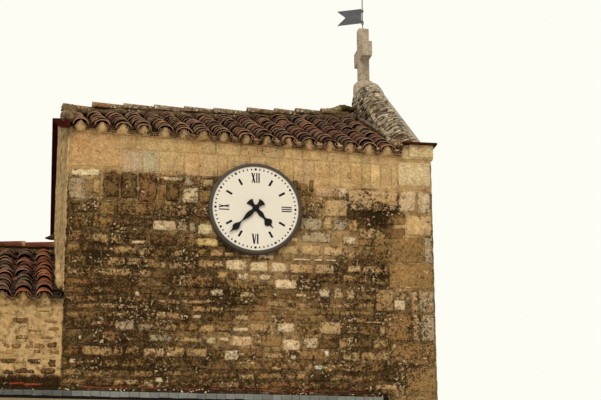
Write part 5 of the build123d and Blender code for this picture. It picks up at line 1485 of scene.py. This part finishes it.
# %% Door boards, studs and ring
wood = Finish("oak_boards")
wood_grain = wood.noise(5.0, 6.0, 0.6, wood.stretch(1.0, 14.0, 1.2))
wood_fine = wood.noise(20.0, 5.0, 0.7, wood.stretch(1.0, 9.0, 0.8))
wood_colour = wood.blend(wood_grain, paint(70, 48, 32), paint(122, 92, 62))
wood_colour = wood.shade(wood_colour, 0.75 + wood_fine * 0.5)
oak = wood.done(wood_colour, 0.7, wood_grain * 0.6 + wood_fine * 0.5, 0.004)
door_low, door_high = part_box("door_leaf")
boards_y = np.linspace(door_low[1] + 0.004, door_high[1] - 0.004, 8)
plank = []
for a, b in zip(boards_y[:-1], boards_y[1:]):
    middle = (a + b) / 2 - 2.3
    reach = max(abs(a - 2.3), abs(b - 2.3))
    spring = 1.75
    radius = door_high[1] - 2.3 - 0.008
    top_a = spring + math.sqrt(max(radius ** 2 - (a - 2.3) ** 2, 0.0))
    top_b = spring + math.sqrt(max(radius ** 2 - (b - 2.3) ** 2, 0.0))
    face = door_high[0]
    section = [(a + 0.002, face - 0.002), (a + 0.006, face + 0.0045), (b - 0.006, face + 0.0045), (b - 0.002, face - 0.002)]
    rows_of = []
    for share in (0.0, 0.5, 1.0):
        for y, x in section:
            top = top_a + (top_b - top_a) * (y - a) / (b - a)
            low = door_low[2] + 0.004
            rows_of.append((x, y, low + (top - 0.004 - low) * share))
    plank.append(rows_of)
plank_faces = [(s * 4 + i, s * 4 + (i + 1) % 4, (s + 1) * 4 + (i + 1) % 4, (s + 1) * 4 + i)
               for s in range(2) for i in range(4)] + [(3, 2, 1, 0), (8, 9, 10, 11)]
joined("door_boards", plank, plank_faces, oak, "door_wood", smooth=False)
strap_low, strap_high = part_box("door_straps")
studs = [[(strap_high[0] - 0.002, y, z), (strap_high[0] + 0.006, y, z)]
         for z in (0.45 + 0.03, 1.60 + 0.03) for y in np.linspace(1.82, 2.70, 6)]
rods("door_studs", studs, 0.012, iron_finish, "iron", 10)
ring_t = np.linspace(0, 2 * np.pi, 25)[:-1]
ring_points = []
for t0 in ring_t:
    centre_line = np.array([door_high[0] + 0.018, 2.74 + 0.045 * math.sin(t0), 1.08 + 0.045 * math.cos(t0)])
    radial = np.array([0.0, math.sin(t0), math.cos(t0)])
    for s0 in np.linspace(0, 2 * np.pi, 9)[:-1]:
        ring_points.append(centre_line + 0.006 * (math.cos(s0) * radial + math.sin(s0) * np.array([1.0, 0, 0])))
ring_faces = [(i * 8 + j, i * 8 + (j + 1) % 8, ((i + 1) % 24) * 8 + (j + 1) % 8, ((i + 1) % 24) * 8 + j)
              for i in range(24) for j in range(8)]
ring_points = np.array(ring_points)[None]
joined("door_ring", ring_points, ring_faces, iron_finish, "iron")
rods("door_ring_staple", [[(door_high[0] - 0.002, 2.74, 1.125), (door_high[0] + 0.030, 2.74, 1.125)]], 0.010,
     iron_finish, "iron")

# %% Surround stones
def around_arch(name, place, u, spring, radius, wide, foot, seed, proud):
    """Jamb blocks and arch stones of an opening. Arch stones are cells in angle and radius, bent by a warp:
    across = u + v cos(angle), height = spring + v sin(angle)."""
    rng = np.random.default_rng(seed)
    jambs, z = [], foot
    while z < spring - 0.05:
        tall = min(rng.uniform(0.24, 0.34), spring - z)
        if spring - z - tall < 0.12:
            tall = spring - z
        jambs.append((u - radius - wide, u - radius, z + 0.003, z + tall - 0.003))
        jambs.append((u + radius, u + radius + wide, z + 0.003, z + tall - 0.003))
        z += tall
    stones(name + "_jambs", place, jambs, mixed(len(jambs), rng, ("pale", "tan", "pale")), seed, proud=proud,
           edge=0.007, corners=0.04, wavy=0.004, clean=0.6, slot="dressed_stone")
    count = 7 if wide < 0.2 else 9
    middle_radius = radius + wide / 2
    length = math.pi * middle_radius
    arch = [(length * i / count + 0.003, length * (i + 1) / count - 0.003, radius, radius + wide) for i in range(count)]

    def bend(a, v):
        angle = math.pi - a / middle_radius
        return u + v * np.cos(angle), spring + v * np.sin(angle)

    stones(name + "_arch", place, arch, mixed(count, rng, ("pale", "tan", "pale")), seed + 1, proud=proud,
           edge=0.007, corners=0.04, wavy=0.004, clean=0.6, slot="dressed_stone", warp=bend)


around_arch("nave_window_front", nave_front, window_u, 3.25, 0.228, 0.144, 2.16, 101, 0.0235)
around_arch("nave_window_back", wall_frame((BAY_LEFT, DEPTH, 0), (0, 1, 0)), BAY_LEFT + 5.075, 3.25, 0.228, 0.144,
            2.16, 103, 0.0235)
around_arch("doorway", gable_end, 2.3, 1.75, 0.553, 0.224, 0.004, 105, 0.0235)

# %% [markdown]
# ## Finishes of the CAD nodes
#
# The nodes whose shape is right stay as they are and only get their finish. The cross and the coping are the
# same limestone as the walls under a greyer lichen, the vane is sheet zinc, and the rod is painted iron.

# %% Give each node its finish
zinc = Finish("vane_zinc")
zinc_wash = zinc.noise(14.0, 5.0, 0.65)
zinc_colour = zinc.blend(zinc_wash, paint(62, 62, 66), paint(104, 104, 106))
zinc_finish = zinc.done(zinc_colour, 0.5, zinc_wash, 0.0015, metal=0.35)
rod = Finish("vane_rod_paint")
rod_wash = rod.noise(25.0, 5.0, 0.65)
rod_paint = rod.done(rod.blend(rod_wash, paint(120, 104, 98), paint(160, 142, 132)), 0.6, rod_wash, 0.0008, metal=0.2)
pane = Finish("dark_glass")
pane_wash = pane.noise(3.0, 2.0, 0.5)
pane_finish = pane.done(pane.blend(pane_wash, paint(30, 38, 42), paint(54, 62, 64)), 0.12, pane_wash, 0.001, coat=0.5, sheen=0.5)
flags = Finish("floor_flags")
flag_cells = flags.cells(1.6, "DISTANCE_TO_EDGE")
flag_joint = flags.ease(flag_cells, 0.01, 0.03, 1.0, 0.0)
flag_wash = flags.noise(6.0, 5.0, 0.65)
flag_colour = flags.blend(flag_wash, paint(150, 136, 112), paint(186, 172, 146))
flag_colour = flags.blend(flag_joint, flag_colour, paint(84, 74, 60))
flag_finish = flags.done(flag_colour, 0.85, flag_wash - flag_joint, 0.006)
plain_dressed = stone_finish("dressed_limestone_plain", 1.0, 0.6, paint(200, 176, 128))

dress = {
    "clock_wall": clock_wall_mortar, "bay_back_wall": clock_wall_mortar, "gable_wall": clock_wall_mortar,
    "bay_side_wall": eaves_mortar, "nave_front_wall": nave_mortar, "nave_back_wall": nave_mortar,
    "nave_end_wall": nave_mortar, "bay_eaves_course_front": eaves_mortar, "bay_eaves_course_back": eaves_mortar,
    "bay_verge": oxblood, "nave_verge": oxblood, "kneeler_tile_front": oxblood, "kneeler_tile_back": oxblood,
    "kneeler_front": plain_dressed, "kneeler_back": plain_dressed, "coping_foot_front": coping_stone,
    "coping_foot_back": coping_stone, "coping_front": coping_stone, "coping_back": coping_stone,
    "saddle_stone": lichen_stone, "gable_cross": lichen_stone, "vane_rod": rod_paint, "weather_vane": zinc_finish,
    "clock_case": bezel, "clock_dial": dial_enamel, "clock_motion_plate": iron_finish, "hour_hand": hand_paint,
    "minute_hand": hand_paint, "ledge": ledge_wash_and_shadow, "ledge_capping": slate_finish,
    "nave_window_glass": pane_finish, "nave_window_surround_front": dressed, "nave_window_surround_back": dressed,
    "door_surround": dressed, "door_leaf": oak, "door_straps": iron_finish, "door_threshold": plain_dressed,
    "floor": flag_finish, "bay_roof_front": roof_clay, "bay_roof_back": roof_clay, "nave_roof_front": roof_clay,
    "nave_roof_back": roof_clay, "bay_ridge_tiles": ridge_clay, "nave_ridge_tiles": ridge_clay}
for name, obj in nodes.items():
    finish = dress.get(name)
    if finish is None:
        print("no finish for", name)
        continue
    for held in obj.material_slots:
        held.material = finish
    if not obj.material_slots:
        obj.data.materials.append(finish)
